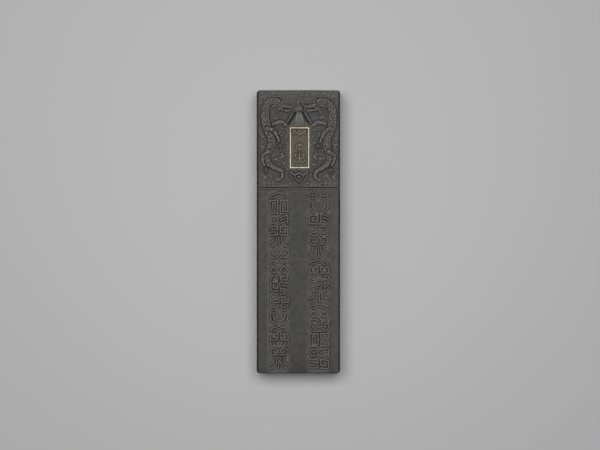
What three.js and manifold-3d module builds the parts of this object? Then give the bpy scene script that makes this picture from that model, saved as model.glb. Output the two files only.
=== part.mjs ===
// A moulded Chinese ink stick: one pressed cake of soot and hide glue, carved in low relief with
// two dragons, a gilt cartouche and two columns of ornament. All sizes are in millimetres.
// +Z points out of the decorated face, +Y towards the dragon end, and Z = 0 is the flat back.

import * as THREE from 'three';
import { mergeVertices } from 'three/addons/utils/BufferGeometryUtils.js';
import Module from 'manifold-3d';

// ---- The cake ----
const CAKE_WIDTH = 42;
const CAKE_LENGTH = 142.4;
const CAKE_THICKNESS = 13.45;     // back to plain ground, without the relief
const EDGE_ROUNDING = 1.0;        // soft edge left by the mould and by handling
const CORNER_RADIUS = 1.7;        // of the outline, seen from the front
const ORNAMENT_MARGIN = 1.0;      // plain rim between the ornament and the edge of the cake
const ROOT = 0.6;                 // how far each raised form runs down into the cake
const OVERSHOOT = 1;              // how far a cutting solid runs past what it cuts

// ---- The double line that divides the front ----
const UPPER_FIELD = 49.1;         // length of the dragon field, from the end to the double line
const GROOVE_WIDTH = 0.45;
const GROOVE_DEPTH = 0.3;
const GROOVE_SPACING = 1.0;

// ---- The cartouche ----
const CARTOUCHE_WIDTH = 9.9;      // over the raised frame
const CARTOUCHE_LENGTH = 20.7;
const CARTOUCHE_SHIFT = 0.6;      // the mould was cut slightly off centre
const CARTOUCHE_ABOVE_LINE = 20.1; // its centre, measured from the double line
const FRAME_WIDTH = 0.7;
const FRAME_HEIGHT = 0.4;
const PANEL_DEPTH = 0.14;         // the panel inside the frame lies below the ground
const CARTOUCHE_CLEARANCE = 0.35; // bare ground kept round the frame

// ---- The gold paint ----
const WASH_THICKNESS = 0.1;
const GILT_THICKNESS = 0.15;
const PAINT_INSET = 0.06;         // the paint stops short of the edges it lies between
const EMBLEM_WIDTH = 0.5;         // of its strokes

// ---- The dragon field's relief ----
const DRAWING_WIDTH = 40;         // the dragons are drawn on this field, then fitted to the cake's
const DRAWING_HEIGHT = 48;
const CREST_SHIFT = 0.3;          // the pearl and the pendant are a little off centre too
const BODY_HEIGHT = 0.5;
const HEAD_HEIGHT = 0.46;
const LIMB_HEIGHT = 0.42;
const HAIR_HEIGHT = 0.3;
const CLOUD_HEIGHT = 0.25;
const PEARL_RADIUS = 1.7;

// ---- The two columns of ornament ----
const TILES_IN_COLUMN = 8;
const TILE_WIDTH = 9.3;
const TILE_GAP = 1.2;
const CELL_GAP = 1.3;             // between the middles of strokes in neighbouring cells
const COLUMN_SPACING = 20.2;      // centre to centre
const COLUMN_SHIFT = 0.25;
const COLUMN_TOP_MARGIN = 2.4;    // under the double line
const COLUMN_END_MARGIN = 2.6;    // above the grinding end
const STROKE_WIDTH = 0.75;
const ORNAMENT_HEIGHT = 0.4;

// ---- Worked out from the sizes above ----
const END_Y = CAKE_LENGTH / 2;
const LINE_Y = END_Y - UPPER_FIELD;
const CARTOUCHE_Y = LINE_Y + CARTOUCHE_ABOVE_LINE;
const PANEL_FLOOR = CAKE_THICKNESS - PANEL_DEPTH;
const PANEL_WIDTH = CARTOUCHE_WIDTH - 2 * FRAME_WIDTH;
const PANEL_LENGTH = CARTOUCHE_LENGTH - 2 * FRAME_WIDTH;
const FIELD_WIDTH = CAKE_WIDTH - 2 * ORNAMENT_MARGIN;
const FIELD_LENGTH = CAKE_LENGTH - 2 * ORNAMENT_MARGIN;
const DRAGON_FIELD = UPPER_FIELD - ORNAMENT_MARGIN;
const SCALE_X = FIELD_WIDTH / DRAWING_WIDTH;
const SCALE_Y = DRAGON_FIELD / DRAWING_HEIGHT;
const FRAME_TOP = CAKE_THICKNESS + FRAME_HEIGHT;
const ABOVE_ALL = FRAME_TOP + BODY_HEIGHT + OVERSHOOT;

const wasm = await Module();
wasm.setup();

// ---- Solids ----

function solid(geometry) {
  const bare = geometry.clone();
  bare.deleteAttribute('normal');
  bare.deleteAttribute('uv');
  const merged = mergeVertices(bare, 1e-4);
  const mesh = new wasm.Mesh({
    numProp: 3,
    vertProperties: new Float32Array(merged.attributes.position.array),
    triVerts: new Uint32Array(merged.index.array),
  });
  return new wasm.Manifold(mesh);
}

function geometryOf(body) {
  const mesh = body.getMesh();
  const geometry = new THREE.BufferGeometry();
  geometry.setAttribute('position', new THREE.BufferAttribute(mesh.vertProperties, 3));
  geometry.setIndex(new THREE.BufferAttribute(mesh.triVerts, 1));
  geometry.computeVertexNormals();
  return geometry;
}

const join = (bodies) => bodies.reduce((all, body) => all.add(body));

function block(width, length, x, y, low, high) {
  const geometry = new THREE.BoxGeometry(width, length, high - low);
  geometry.translate(x, y, (low + high) / 2);
  return solid(geometry);
}

function raised(shape, low, high) {
  const geometry = new THREE.ExtrudeGeometry(shape, { depth: high - low, bevelEnabled: false });
  geometry.translate(0, 0, low);
  return solid(geometry);
}

// ---- Strokes ----

// The outline of a stroke that follows the points; its half width runs from start to end.
function strokeOutline(points, start, end) {
  const left = [];
  const right = [];
  points.forEach((point, i) => {
    const before = points[Math.max(i - 1, 0)];
    const after = points[Math.min(i + 1, points.length - 1)];
    const into = point.clone().sub(before).normalize();
    const out = after.clone().sub(point).normalize();
    if (i === 0) into.copy(out);
    if (i === points.length - 1) out.copy(into);
    const across = into.clone().add(out).normalize();
    const mitre = 1 / Math.max(across.dot(out), 0.5);
    const half = THREE.MathUtils.lerp(start, end, i / (points.length - 1)) * mitre;
    const offset = new THREE.Vector2(-across.y, across.x).multiplyScalar(half);
    left.push(point.clone().add(offset));
    right.unshift(point.clone().sub(offset));
  });
  return new THREE.Shape([...left, ...right]);
}

// A line with corners has one bar for each of its segments, and neighbours overlap at the corner.
function bars(points, start, end) {
  const last = points.length - 1;
  return points.slice(1).map((to, i) => {
    const from = points[i];
    const along = to.clone().sub(from).normalize();
    const [near, far] = [i, i + 1].map((k) => THREE.MathUtils.lerp(start, end, k / last));
    const head = i === 0 ? from : from.clone().addScaledVector(along, -near);
    const tail = i + 1 === last ? to : to.clone().addScaledVector(along, far);
    return strokeOutline([head, tail], near, far);
  });
}

function curved(points, steps) {
  return new THREE.SplineCurve(points).getPoints(steps);
}

// A pattern is drawn in its own flat frame, and place() moves each of its points onto the cake.
function strokes(list, place, floor) {
  return list.flatMap(({ line, start, end = start, height, straight = false }) => {
    const points = line.map(([x, y]) => place(x, y));
    const outlines = straight
      ? bars(points, start, end)
      : [strokeOutline(curved(points, 2 * (points.length - 1)), start, end)];
    return outlines.map((outline) => raised(outline, floor - ROOT, floor + height));
  });
}

// ---- The dragons, drawn for the right-hand side ----

const dragonBody = [{
  line: [[8.2, 41.6], [11.6, 43.9], [15.5, 42.2], [17.7, 37.4], [17.4, 31.4], [15, 26.4], [14, 21.6],
    [15.4, 17.2], [13.6, 13], [9.8, 10.6], [8.2, 7.2], [10.6, 4]],
  start: 1.5, end: 0.6, height: BODY_HEIGHT,
}];

const dragonHead = [
  { line: [[9, 41.4], [6.8, 42], [4.4, 41.2]], start: 1.6, end: 0.9, height: HEAD_HEIGHT },
  { line: [[7.4, 40.4], [5.8, 39.4], [4.6, 39.4]], start: 0.8, end: 0.4, height: LIMB_HEIGHT },
];

const dragonLimbs = [
  { line: [[16.2, 29], [12.6, 28], [10.6, 24.6], [9.9, 21.2]], start: 1.1, end: 0.6, height: LIMB_HEIGHT },
  { line: [[14.9, 17.6], [17.8, 15.6], [17.9, 12.4], [16.5, 9.8]],
    start: 1.1, end: 0.6, height: LIMB_HEIGHT },
  { line: [[7.6, 39.4], [5.4, 36.4], [6.2, 33.4]], start: 0.7, end: 0.4, height: LIMB_HEIGHT },
];

const dragonHair = [
  { line: [[7.2, 43], [8.8, 45.2], [11.6, 46.4]], start: 0.45, end: 0.25, height: HAIR_HEIGHT },
  { line: [[5.6, 42.6], [6, 44.8], [8, 46.6]], start: 0.4, end: 0.25, height: HAIR_HEIGHT },
  { line: [[9, 40.4], [11.4, 39.2], [13.8, 39.8]], start: 0.5, end: 0.25, height: HAIR_HEIGHT },
  { line: [[8.4, 39.8], [10, 37.4], [12.8, 36.8]], start: 0.5, end: 0.25, height: HAIR_HEIGHT },
  { line: [[10.6, 4.4], [8.6, 2.4], [6, 2]], start: 0.55, end: 0.25, height: HAIR_HEIGHT },
  { line: [[10.4, 4.6], [11.2, 2.4], [9.8, 0.9]], start: 0.55, end: 0.25, height: HAIR_HEIGHT },
  { line: [[10.4, 4.8], [13, 3.6], [14, 1.4]], start: 0.55, end: 0.25, height: HAIR_HEIGHT },
];

const dragonClouds = [
  { line: [[7.3, 32.6], [10.4, 31], [14, 32.4]], start: 0.5, end: 0.5, height: CLOUD_HEIGHT },
  { line: [[14.6, 45.8], [17, 46.4], [18.6, 44.4]], start: 0.45, end: 0.45, height: CLOUD_HEIGHT },
  { line: [[17, 4.6], [18.8, 3.2], [17.6, 1.4], [15.8, 2.2]], start: 0.45, end: 0.45, height: CLOUD_HEIGHT },
];

// Each paw is a star of claws round its centre.
const PAWS = [[9.9, 20.4], [16.3, 8.8]];
const CLAWS = 5;
const CLAW_LENGTH = 2.3;

function clawsOf([x, y]) {
  return Array.from({ length: CLAWS }, (_, i) => {
    const angle = (i / CLAWS) * 2 * Math.PI + Math.PI / 2;
    const tip = [x + CLAW_LENGTH * Math.cos(angle), y + CLAW_LENGTH * Math.sin(angle)];
    return { line: [[x, y], tip], start: 0.5, end: 0.2, height: LIMB_HEIGHT - 0.04 * i, straight: true };
  });
}

const DRAGON = [
  ...dragonBody, ...dragonHead, ...dragonLimbs, ...dragonHair, ...dragonClouds, ...PAWS.flatMap(clawsOf),
];

function dragon(side) {
  const place = (x, y) => new THREE.Vector2(CREST_SHIFT + side * x * SCALE_X, LINE_Y + y * SCALE_Y);
  return strokes(DRAGON, place, CAKE_THICKNESS);
}

// ---- Flame, pearl and pendant, on the middle line between the dragons ----

const PEARL_Y = 39.6;

const FLAME = [
  { line: [[0, 42], [0.1, 44.4], [-0.2, 47]], start: 0.6, end: 0.25, height: HAIR_HEIGHT },
  { line: [[0.7, 42.2], [1.9, 44], [2, 46]], start: 0.5, end: 0.25, height: HAIR_HEIGHT },
  { line: [[-0.7, 42.2], [-1.9, 44], [-2, 46]], start: 0.5, end: 0.25, height: HAIR_HEIGHT },
];

const PENDANT = [
  { line: [[-3.8, 7.4], [0, 6.2], [3.8, 7.4]], start: 0.5, height: LIMB_HEIGHT },
  { line: [[-3.6, 6.4], [0, 0.9], [3.6, 6.4]], start: 0.4, height: HAIR_HEIGHT, straight: true },
];

function crest() {
  const place = (x, y) => new THREE.Vector2(CREST_SHIFT + x * SCALE_X, LINE_Y + y * SCALE_Y);
  const pearl = new THREE.SphereGeometry(PEARL_RADIUS, 14, 10);
  pearl.scale(1, 1, BODY_HEIGHT / PEARL_RADIUS);
  pearl.translate(CREST_SHIFT, place(0, PEARL_Y).y, CAKE_THICKNESS);
  return [solid(pearl), ...strokes([...FLAME, ...PENDANT], place, CAKE_THICKNESS)];
}

// ---- The ornament tiles ----

// Each cell is a few lines drawn in a square from -1 to 1.
const CELLS = {
  fret: [
    [[-1, -1], [1, -1], [1, 1], [-1, 1], [-1, -0.33], [0.33, -0.33], [0.33, 0.33], [-0.33, 0.33]],
  ],
  tower: [
    [
      [-1, -1], [1, -1], [1, 1], [-1, 1], [-1, -0.66], [0.33, -0.66], [0.33, 0.66], [-0.33, 0.66],
      [-0.33, -0.3],
    ],
  ],
  hooks: [
    [[-1, 0.3], [-1, 1], [1, 1], [1, 0.2], [0, 0.2]],
    [[1, -0.4], [1, -1], [-1, -1], [-1, -0.3], [0.1, -0.3]],
  ],
  scroll: [
    [[-1, -1], [0.5, -1], [1, 0], [0.5, 1], [-0.5, 1], [-0.8, -0.1], [0.2, -0.1]],
  ],
  comb: [
    [[-1, 1], [-1, -1]],
    [[-1, 1], [0.1, 0.9], [1, 0.5]],
    [[-0.3, 0.3], [0.3, 0.2], [1, -0.15]],
    [[-1, -0.4], [0.2, -0.5], [1, -0.9]],
  ],
  gem: [
    [[0, 1], [1, 0], [0, -1], [-1, 0], [0, 1]],
    [[0, 0.26], [0, -0.26]],
  ],
  eye: [
    [[-1, -0.1], [-0.4, 0.8], [0.4, 0.8], [1, -0.1], [0, -0.8], [-1, -0.1]],
    [[-0.3, 0], [0.35, 0]],
  ],
  twist: [
    [[-0.9, 1], [0.9, 0.6], [-0.8, -0.2], [-0.6, -1], [1, -0.9]],
    [[0.4, -0.3], [1, -0.25]],
  ],
  leaf: [
    [[0, -1], [0, 1]],
    [[0, -0.1], [0.6, 0.2], [0.95, 0.9]],
    [[0, -0.1], [-0.6, 0.2], [-0.95, 0.9]],
    [[0, -0.9], [0.6, -0.7], [1, -0.05]],
    [[0, -0.9], [-0.6, -0.7], [-1, -0.05]],
  ],
  canopy: [
    [[-1, -0.9], [-0.7, 0.2], [0, 0.9], [0.7, 0.2], [1, -0.9]],
    [[-0.62, -1], [0, -0.1], [0.62, -1]],
  ],
  bowl: [
    [[-1, 1], [-0.75, -0.6], [0, -1], [0.75, -0.6], [1, 1]],
    [[-0.62, 1], [0, -0.35], [0.62, 1]],
    [[0, 1], [0, 0.4]],
  ],
  meander: [
    [[-1, -1], [-1, 1], [-0.25, 1], [-0.25, -0.3], [-0.62, -0.3]],
    [[1, 1], [1, -1], [0.25, -1], [0.25, 0.3], [0.62, 0.3]],
    [[-0.66, -1], [-0.05, -1]],
    [[0.05, 1], [0.66, 1]],
  ],
  palm: [
    [[0, -1], [0, 1]],
    [[0.3, 1], [0.25, 0], [0.6, -0.9], [1, -1]],
    [[0.66, 1], [0.6, 0.3], [1, -0.4]],
    [[-0.3, 1], [-0.25, 0], [-0.6, -0.9], [-1, -1]],
    [[-0.66, 1], [-0.6, 0.3], [-1, -0.4]],
  ],
};

// Each tile is rows of cells, with the share of its height that each row takes. A minus mirrors a cell.
const TILES = {
  temple: [[0.34, ['canopy']], [0.66, ['tower', '-tower']]],
  garden: [[0.4, ['leaf', 'leaf']], [0.6, ['bowl']]],
  river: [[0.5, ['-fret', 'comb']], [0.5, ['meander']]],
  market: [[0.5, ['eye', '-comb']], [0.5, ['hooks', 'fret']]],
  forest: [[0.4, ['-scroll', 'scroll']], [0.6, ['palm']]],
  mirror: [[0.5, ['palm']], [0.5, ['-scroll', 'scroll']]],
  weaver: [[0.3, ['canopy']], [0.4, ['gem', 'gem']], [0.3, ['meander']]],
  bridge: [[0.36, ['bowl']], [0.64, ['-tower', 'hooks']]],
  shrine: [[0.34, ['canopy']], [0.36, ['-fret', 'fret']], [0.3, ['bowl']]],
  meadow: [[0.55, ['twist', 'leaf']], [0.45, ['palm']]],
};

const RIGHT_COLUMN = ['garden', 'river', 'forest', 'shrine', 'meadow', 'weaver', 'bridge', 'market'];
const LEFT_COLUMN = ['temple', 'market', 'mirror', 'weaver', 'river', 'garden', 'shrine', 'forest'];

function cell(name, x, y, width, height) {
  const side = name.startsWith('-') ? -1 : 1;
  const place = (u, v) => new THREE.Vector2(x + side * u * width / 2, y + v * height / 2);
  const list = CELLS[name.replace('-', '')].map((line) => ({
    line, start: STROKE_WIDTH / 2, height: ORNAMENT_HEIGHT, straight: true,
  }));
  return strokes(list, place, CAKE_THICKNESS);
}

function tile(rows, x, y, width, height) {
  let top = y + height / 2;
  return rows.flatMap(([share, names]) => {
    const tall = share * (height + CELL_GAP) - CELL_GAP;
    const wide = (width + CELL_GAP) / names.length - CELL_GAP;
    const row = names.flatMap((name, i) => (
      cell(name, x - width / 2 + wide / 2 + i * (wide + CELL_GAP), top - tall / 2, wide, tall)
    ));
    top -= tall + CELL_GAP;
    return row;
  });
}

function column(names, x) {
  const top = LINE_Y - GROOVE_SPACING - COLUMN_TOP_MARGIN;
  const bottom = -END_Y + COLUMN_END_MARGIN;
  const pitch = (top - bottom + TILE_GAP) / TILES_IN_COLUMN;
  return names.flatMap((name, i) => (
    tile(TILES[name], x, top - (i + 0.5) * pitch + TILE_GAP / 2, TILE_WIDTH, pitch - TILE_GAP)
  ));
}

// ---- The cake itself ----

function tablet() {
  const width = CAKE_WIDTH - 2 * EDGE_ROUNDING;
  const length = CAKE_LENGTH - 2 * EDGE_ROUNDING;
  const radius = CORNER_RADIUS - EDGE_ROUNDING;
  const outline = new THREE.Shape();
  const quarter = Math.PI / 2;
  [[1, 1], [-1, 1], [-1, -1], [1, -1]].forEach(([sx, sy], i) => {
    const x = sx * (width / 2 - radius);
    const y = sy * (length / 2 - radius);
    outline.absarc(x, y, radius, i * quarter, (i + 1) * quarter, false);
  });
  const geometry = new THREE.ExtrudeGeometry(outline, {
    depth: CAKE_THICKNESS - 2 * EDGE_ROUNDING,
    bevelSize: EDGE_ROUNDING,
    bevelThickness: EDGE_ROUNDING,
    bevelSegments: 4,
    curveSegments: 4,
  });
  geometry.translate(0, 0, EDGE_ROUNDING);
  return solid(geometry);
}

// A V-shaped groove straight across the front.
function groove(y) {
  const reach = CAKE_WIDTH + 2 * OVERSHOOT;
  const section = new THREE.Shape([
    new THREE.Vector2(-GROOVE_WIDTH, GROOVE_DEPTH),
    new THREE.Vector2(0, -GROOVE_DEPTH),
    new THREE.Vector2(GROOVE_WIDTH, GROOVE_DEPTH),
  ]);
  const geometry = new THREE.ExtrudeGeometry(section, { depth: reach, bevelEnabled: false });
  geometry.rotateX(Math.PI / 2);
  geometry.rotateZ(Math.PI / 2);
  geometry.translate(-reach / 2, y, CAKE_THICKNESS);
  return solid(geometry);
}

// The room that the relief leaves free round the cartouche.
function cartoucheRoom() {
  const width = CARTOUCHE_WIDTH + 2 * CARTOUCHE_CLEARANCE;
  const length = CARTOUCHE_LENGTH + 2 * CARTOUCHE_CLEARANCE;
  return block(width, length, CARTOUCHE_SHIFT, CARTOUCHE_Y, CAKE_THICKNESS - 2 * ROOT, ABOVE_ALL);
}

// The flat of the front inside its rim, which holds all the relief.
function ornamentField() {
  return block(FIELD_WIDTH, FIELD_LENGTH, 0, 0, CAKE_THICKNESS - 2 * ROOT, ABOVE_ALL);
}

// A frame round the panel, drawn in by inset from the raised frame's own edges.
function frameRing(inset, low, high) {
  const outer = block(CARTOUCHE_WIDTH - 2 * inset, CARTOUCHE_LENGTH - 2 * inset,
    CARTOUCHE_SHIFT, CARTOUCHE_Y, low, high);
  const inner = block(PANEL_WIDTH + 2 * inset, PANEL_LENGTH + 2 * inset,
    CARTOUCHE_SHIFT, CARTOUCHE_Y, low - OVERSHOOT, high + OVERSHOOT);
  return outer.subtract(inner);
}

function inkCake() {
  const columns = [
    ...column(RIGHT_COLUMN, COLUMN_SHIFT + COLUMN_SPACING / 2),
    ...column(LEFT_COLUMN, COLUMN_SHIFT - COLUMN_SPACING / 2),
  ];
  const dragons = join([...dragon(1), ...dragon(-1), ...crest()]).subtract(cartoucheRoom());
  const relief = dragons.add(join(columns)).intersect(ornamentField());
  const panel = block(PANEL_WIDTH, PANEL_LENGTH, CARTOUCHE_SHIFT, CARTOUCHE_Y, PANEL_FLOOR, ABOVE_ALL);
  return tablet()
    .add(relief)
    .subtract(groove(LINE_Y))
    .subtract(groove(LINE_Y - GROOVE_SPACING))
    .add(frameRing(0, CAKE_THICKNESS - ROOT, FRAME_TOP))
    .subtract(panel);
}

// ---- The gold paint: a thin worn wash on the panel, a fillet on the frame, and three emblems ----

function panelWash() {
  const width = PANEL_WIDTH - 2 * PAINT_INSET;
  const length = PANEL_LENGTH - 2 * PAINT_INSET;
  return block(width, length, CARTOUCHE_SHIFT, CARTOUCHE_Y, PANEL_FLOOR, PANEL_FLOOR + WASH_THICKNESS);
}

function giltFillet() {
  return frameRing(PAINT_INSET, FRAME_TOP, FRAME_TOP + GILT_THICKNESS);
}

// Emblem lines are shares of the panel's half width and half length, from its centre.
const EMBLEMS = {
  gilt_upper_emblem: [
    [[0, 0.66], [0.3, 0.76], [0.62, 0.68], [0.66, 0.84], [0.4, 0.86]],
    [[0, 0.88], [0.3, 0.8], [0.62, 0.92]],
    [[0, 0.92], [0, 0.62]],
  ],
  gilt_centre_emblem: [
    [[0, 0.2], [0.32, 0.1], [0.3, -0.02], [0, -0.1]],
    [[0, 0.24], [0, -0.12]],
  ],
  gilt_lower_emblem: [
    [[0, -0.24], [0, -0.74]],
    [[0, -0.6], [0.34, -0.52], [0.5, -0.34], [0.3, -0.28]],
    [[0, -0.7], [0.4, -0.76], [0.66, -0.6]],
  ],
};

function emblem(lines) {
  const floor = PANEL_FLOOR + WASH_THICKNESS;
  const halves = [1, -1].flatMap((side) => lines.map((line) => {
    const points = line.map(([u, v]) => new THREE.Vector2(
      CARTOUCHE_SHIFT + side * u * PANEL_WIDTH / 2,
      CARTOUCHE_Y + v * PANEL_LENGTH / 2,
    ));
    const path = curved(points, 3 * points.length);
    return raised(strokeOutline(path, EMBLEM_WIDTH / 2, EMBLEM_WIDTH / 2), floor, floor + GILT_THICKNESS);
  }));
  return join(halves);
}

// ---- Materials ----

function pressedInk() {
  return new THREE.MeshStandardMaterial({ color: 0x3d3c3b, roughness: 0.62, metalness: 0 });
}

function wornGoldWash() {
  return new THREE.MeshStandardMaterial({ color: 0x5a5548, roughness: 0.7, metalness: 0.2 });
}

function gilding() {
  return new THREE.MeshStandardMaterial({ color: 0xd9cba6, roughness: 0.45, metalness: 0.6 });
}

function paleGilding() {
  return new THREE.MeshStandardMaterial({ color: 0x8d7b6c, roughness: 0.6, metalness: 0.4 });
}

// ---- The assembly ----

function part(name, body, material) {
  const mesh = new THREE.Mesh(geometryOf(body), material);
  mesh.name = name;
  return mesh;
}

const inkStick = new THREE.Group();
inkStick.add(part('ink_cake', inkCake(), pressedInk()));
inkStick.add(part('panel_wash', panelWash(), wornGoldWash()));
inkStick.add(part('gilt_fillet', giltFillet(), gilding()));
for (const [name, lines] of Object.entries(EMBLEMS)) {
  inkStick.add(part(name, emblem(lines), paleGilding()));
}

export default inkStick;
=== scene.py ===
# A moulded ink stick of soot and hide glue, with two dragons in low relief and a gilt cartouche.
from math import cos, hypot, pi, radians, sin

import bpy
import numpy as np
from bpy.props import FloatProperty, FloatVectorProperty, IntProperty, PointerProperty
from bpy.types import Operator, Panel, PropertyGroup
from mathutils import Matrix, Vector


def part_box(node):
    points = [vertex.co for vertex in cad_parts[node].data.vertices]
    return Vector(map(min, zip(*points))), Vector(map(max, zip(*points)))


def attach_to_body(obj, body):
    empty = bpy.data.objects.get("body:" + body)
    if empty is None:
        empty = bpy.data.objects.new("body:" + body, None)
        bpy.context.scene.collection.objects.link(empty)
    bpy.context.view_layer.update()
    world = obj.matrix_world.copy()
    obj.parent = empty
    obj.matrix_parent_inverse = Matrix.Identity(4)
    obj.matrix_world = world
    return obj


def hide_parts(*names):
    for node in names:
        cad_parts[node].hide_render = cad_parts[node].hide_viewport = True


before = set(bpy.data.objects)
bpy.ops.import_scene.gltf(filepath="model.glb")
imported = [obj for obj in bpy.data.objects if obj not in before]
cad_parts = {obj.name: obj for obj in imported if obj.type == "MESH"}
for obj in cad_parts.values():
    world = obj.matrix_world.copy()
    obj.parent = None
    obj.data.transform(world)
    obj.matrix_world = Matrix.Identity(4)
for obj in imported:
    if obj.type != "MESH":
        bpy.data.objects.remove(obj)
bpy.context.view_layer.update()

bl_info = {
    "name": "Moulded Ink Stick",
    "version": (1, 0, 0),
    "blender": (4, 5, 0),
    "location": "3D View > Sidebar > Ink Stick",
    "description": "Models a pressed ink stick with dragons, a gilt cartouche and two columns of ornament",
    "category": "Object",
}

MM = 0.001
SEED = 7


def linear(code):
    """A colour written as sRGB hex, as the linear red, green and blue that shaders take."""
    channels = [int(code[i:i + 2], 16) / 255 for i in (0, 2, 4)]
    return tuple(c / 12.92 if c <= 0.04045 else ((c + 0.055) / 1.055) ** 2.4 for c in channels)


def length(name, description, millimetres):
    """A property that holds a length."""
    return FloatProperty(name=name, description=description, default=millimetres * MM, min=0, unit="LENGTH")


def colour(name, description, code):
    """A property that holds a colour."""
    return FloatVectorProperty(name=name, description=description, default=linear(code), subtype="COLOR",
                               size=3, min=0, max=1)


# ---- Sizes and colours ----

class InkStickSizes(PropertyGroup):
    edge_rounding: length("Edge rounding", "Radius of the soft edges all round the cake", 1.0)
    pillow: length("Pillow", "How far the front falls away towards its edges, from drying", 0.25)
    corner_radius: length("Corner radius", "Radius of the outline's corners, seen from the front", 1.7)
    upper_field: length("Upper field", "Length of the dragon field, from the end to the double line", 49.1)
    groove_width: length("Line width", "Half width of each of the two dividing lines", 0.22)
    groove_depth: length("Line depth", "Depth of each dividing line", 0.2)
    groove_spacing: length("Line spacing", "From one dividing line to the other", 1.0)
    frame_width: length("Frame width", "Width of the cartouche's raised frame", 0.7)
    frame_height: length("Frame height", "Height of the cartouche's raised frame above the ground", 0.4)
    panel_depth: length("Panel depth", "How far the cartouche's panel lies below the ground", 0.14)
    column_spacing: length("Column spacing", "Between the middles of the two columns of ornament", 20.2)
    tile_gap: length("Tile gap", "Between one ornament and the next in a column", 0.9)
    stroke_width: length("Stroke width", "Width of the ornament's strokes", 0.9)
    ornament_height: length("Ornament height", "Height of the ornament above the ground", 0.46)
    paint_thickness: length("Paint thickness", "Thickness of the gold paint", 0.05)
    mesh_pitch: length("Mesh pitch", "Spacing of the points that the relief is worked out on", 0.12)
    tiles: IntProperty(name="Tiles", description="Ornaments in each column", default=8, min=1)


class InkStickColours(PropertyGroup):
    ink: colour("Ink", "Pressed ink where it is clean and matt", "2E2D2B")
    handled: colour("Handled", "Ink on the head, edges and high forms, where hands have worn it", "474643")
    # the burnish colour is partly rubbed ink and partly a painted highlight on the crests
    burnish_and_highlight: colour("Burnish", "Ink on the crests of the carving, rubbed smooth", "605D59")
    # the dust colour is partly loose soot and partly painted shade in the cuts and hollows
    dust_and_shade: colour("Dust", "Loose soot left in the hollows", "1C1B1A")
    gold: colour("Gold", "Gold paint where it is thick", "DFD7C6")
    worn_gold: colour("Worn gold", "Gold paint where it is rubbed thin", "8E7F6C")
    wash: colour("Wash", "Worn wash of gold on the panel", "4D493B")
    size_red: colour("Red size", "The upper emblem, rubbed down to the reddish size under its gold", "7A645A")
    olive_gold: colour("Olive gold", "The other emblems, where thin gold is left over the ink", "7A745F")
    stain: colour("Stain", "Glue and gold spilt round the cartouche", "51452E")
    bloom: colour("Bloom", "Pale bloom of glue on the smooth canopy", "525150")
    floor: colour("Floor", "Paper that the stick lies on", "C2C2C2")


# ---- Numbers in space: smooth noise and blurs ----

def lattice_noise(points, size, seed):
    """Smooth noise from -1 to 1 at each point (an array of rows of 2 or 3), with lumps of the given size."""
    cell = np.floor(points / size).astype(np.int64)
    t = points / size - cell
    t = t * t * (3 - 2 * t)
    total = np.zeros(len(points))
    axes = points.shape[1]
    for corner in range(2 ** axes):
        step = np.array([(corner >> k) & 1 for k in range(axes)])
        key = cell + step
        mixed = key[:, 0] * 73856093 ^ key[:, 1] * 19349663 ^ seed * 83492791
        if axes == 3:
            mixed = mixed ^ key[:, 2] * 50331653
        mixed = (mixed ^ (mixed >> 13)) * 1274126177
        value = ((mixed ^ (mixed >> 16)) & 0xFFFF) / 0x7FFF - 1
        total += value * np.prod(np.where(step, t, 1 - t), axis=1)
    return total


def grid_noise(gx, gy, size, seed):
    """The same noise over a grid of places."""
    return lattice_noise(np.column_stack([gx.ravel(), gy.ravel()]), size, seed).reshape(gx.shape)


def blurred(field, radius):
    """The field under a soft round blur about radius cells wide, made of three box blurs."""
    width = max(1, int(round(radius)))
    for _ in range(3):
        for axis in (0, 1):
            pad = [(width + 1, width) if a == axis else (0, 0) for a in (0, 1)]
            sums = np.cumsum(np.pad(field, pad, mode="edge"), axis=axis)
            ahead = np.take(sums, range(2 * width + 1, sums.shape[axis]), axis=axis)
            behind = np.take(sums, range(sums.shape[axis] - 2 * width - 1), axis=axis)
            field = (ahead - behind) / (2 * width + 1)
    return field


def spline(points, step=0.2):
    """A smooth line through the points, as close points about step apart."""
    p = np.array(points, float)
    p = np.vstack([2 * p[0] - p[1], p, 2 * p[-1] - p[-2]])
    out = []
    for a, b, c, d in zip(p, p[1:], p[2:], p[3:]):
        n = max(2, int(np.linalg.norm(c - b) / step))
        t = (np.arange(n) / n)[:, None]
        bend = (2 * a - 5 * b + 4 * c - d) * t * t + (3 * b - a - 3 * c + d) * t ** 3
        out.append(b + 0.5 * ((c - a) * t + bend))
    return np.vstack(out + [p[-2:-1]])


# ---- Carving: a height field in millimetres, and a pen that draws on it ----

MOAT_REACH = 0.22           # how far the carver's cut spreads from the edge of a form
WANDER = 0.42               # how far drawn lines stray from their pattern, in millimetres


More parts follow.
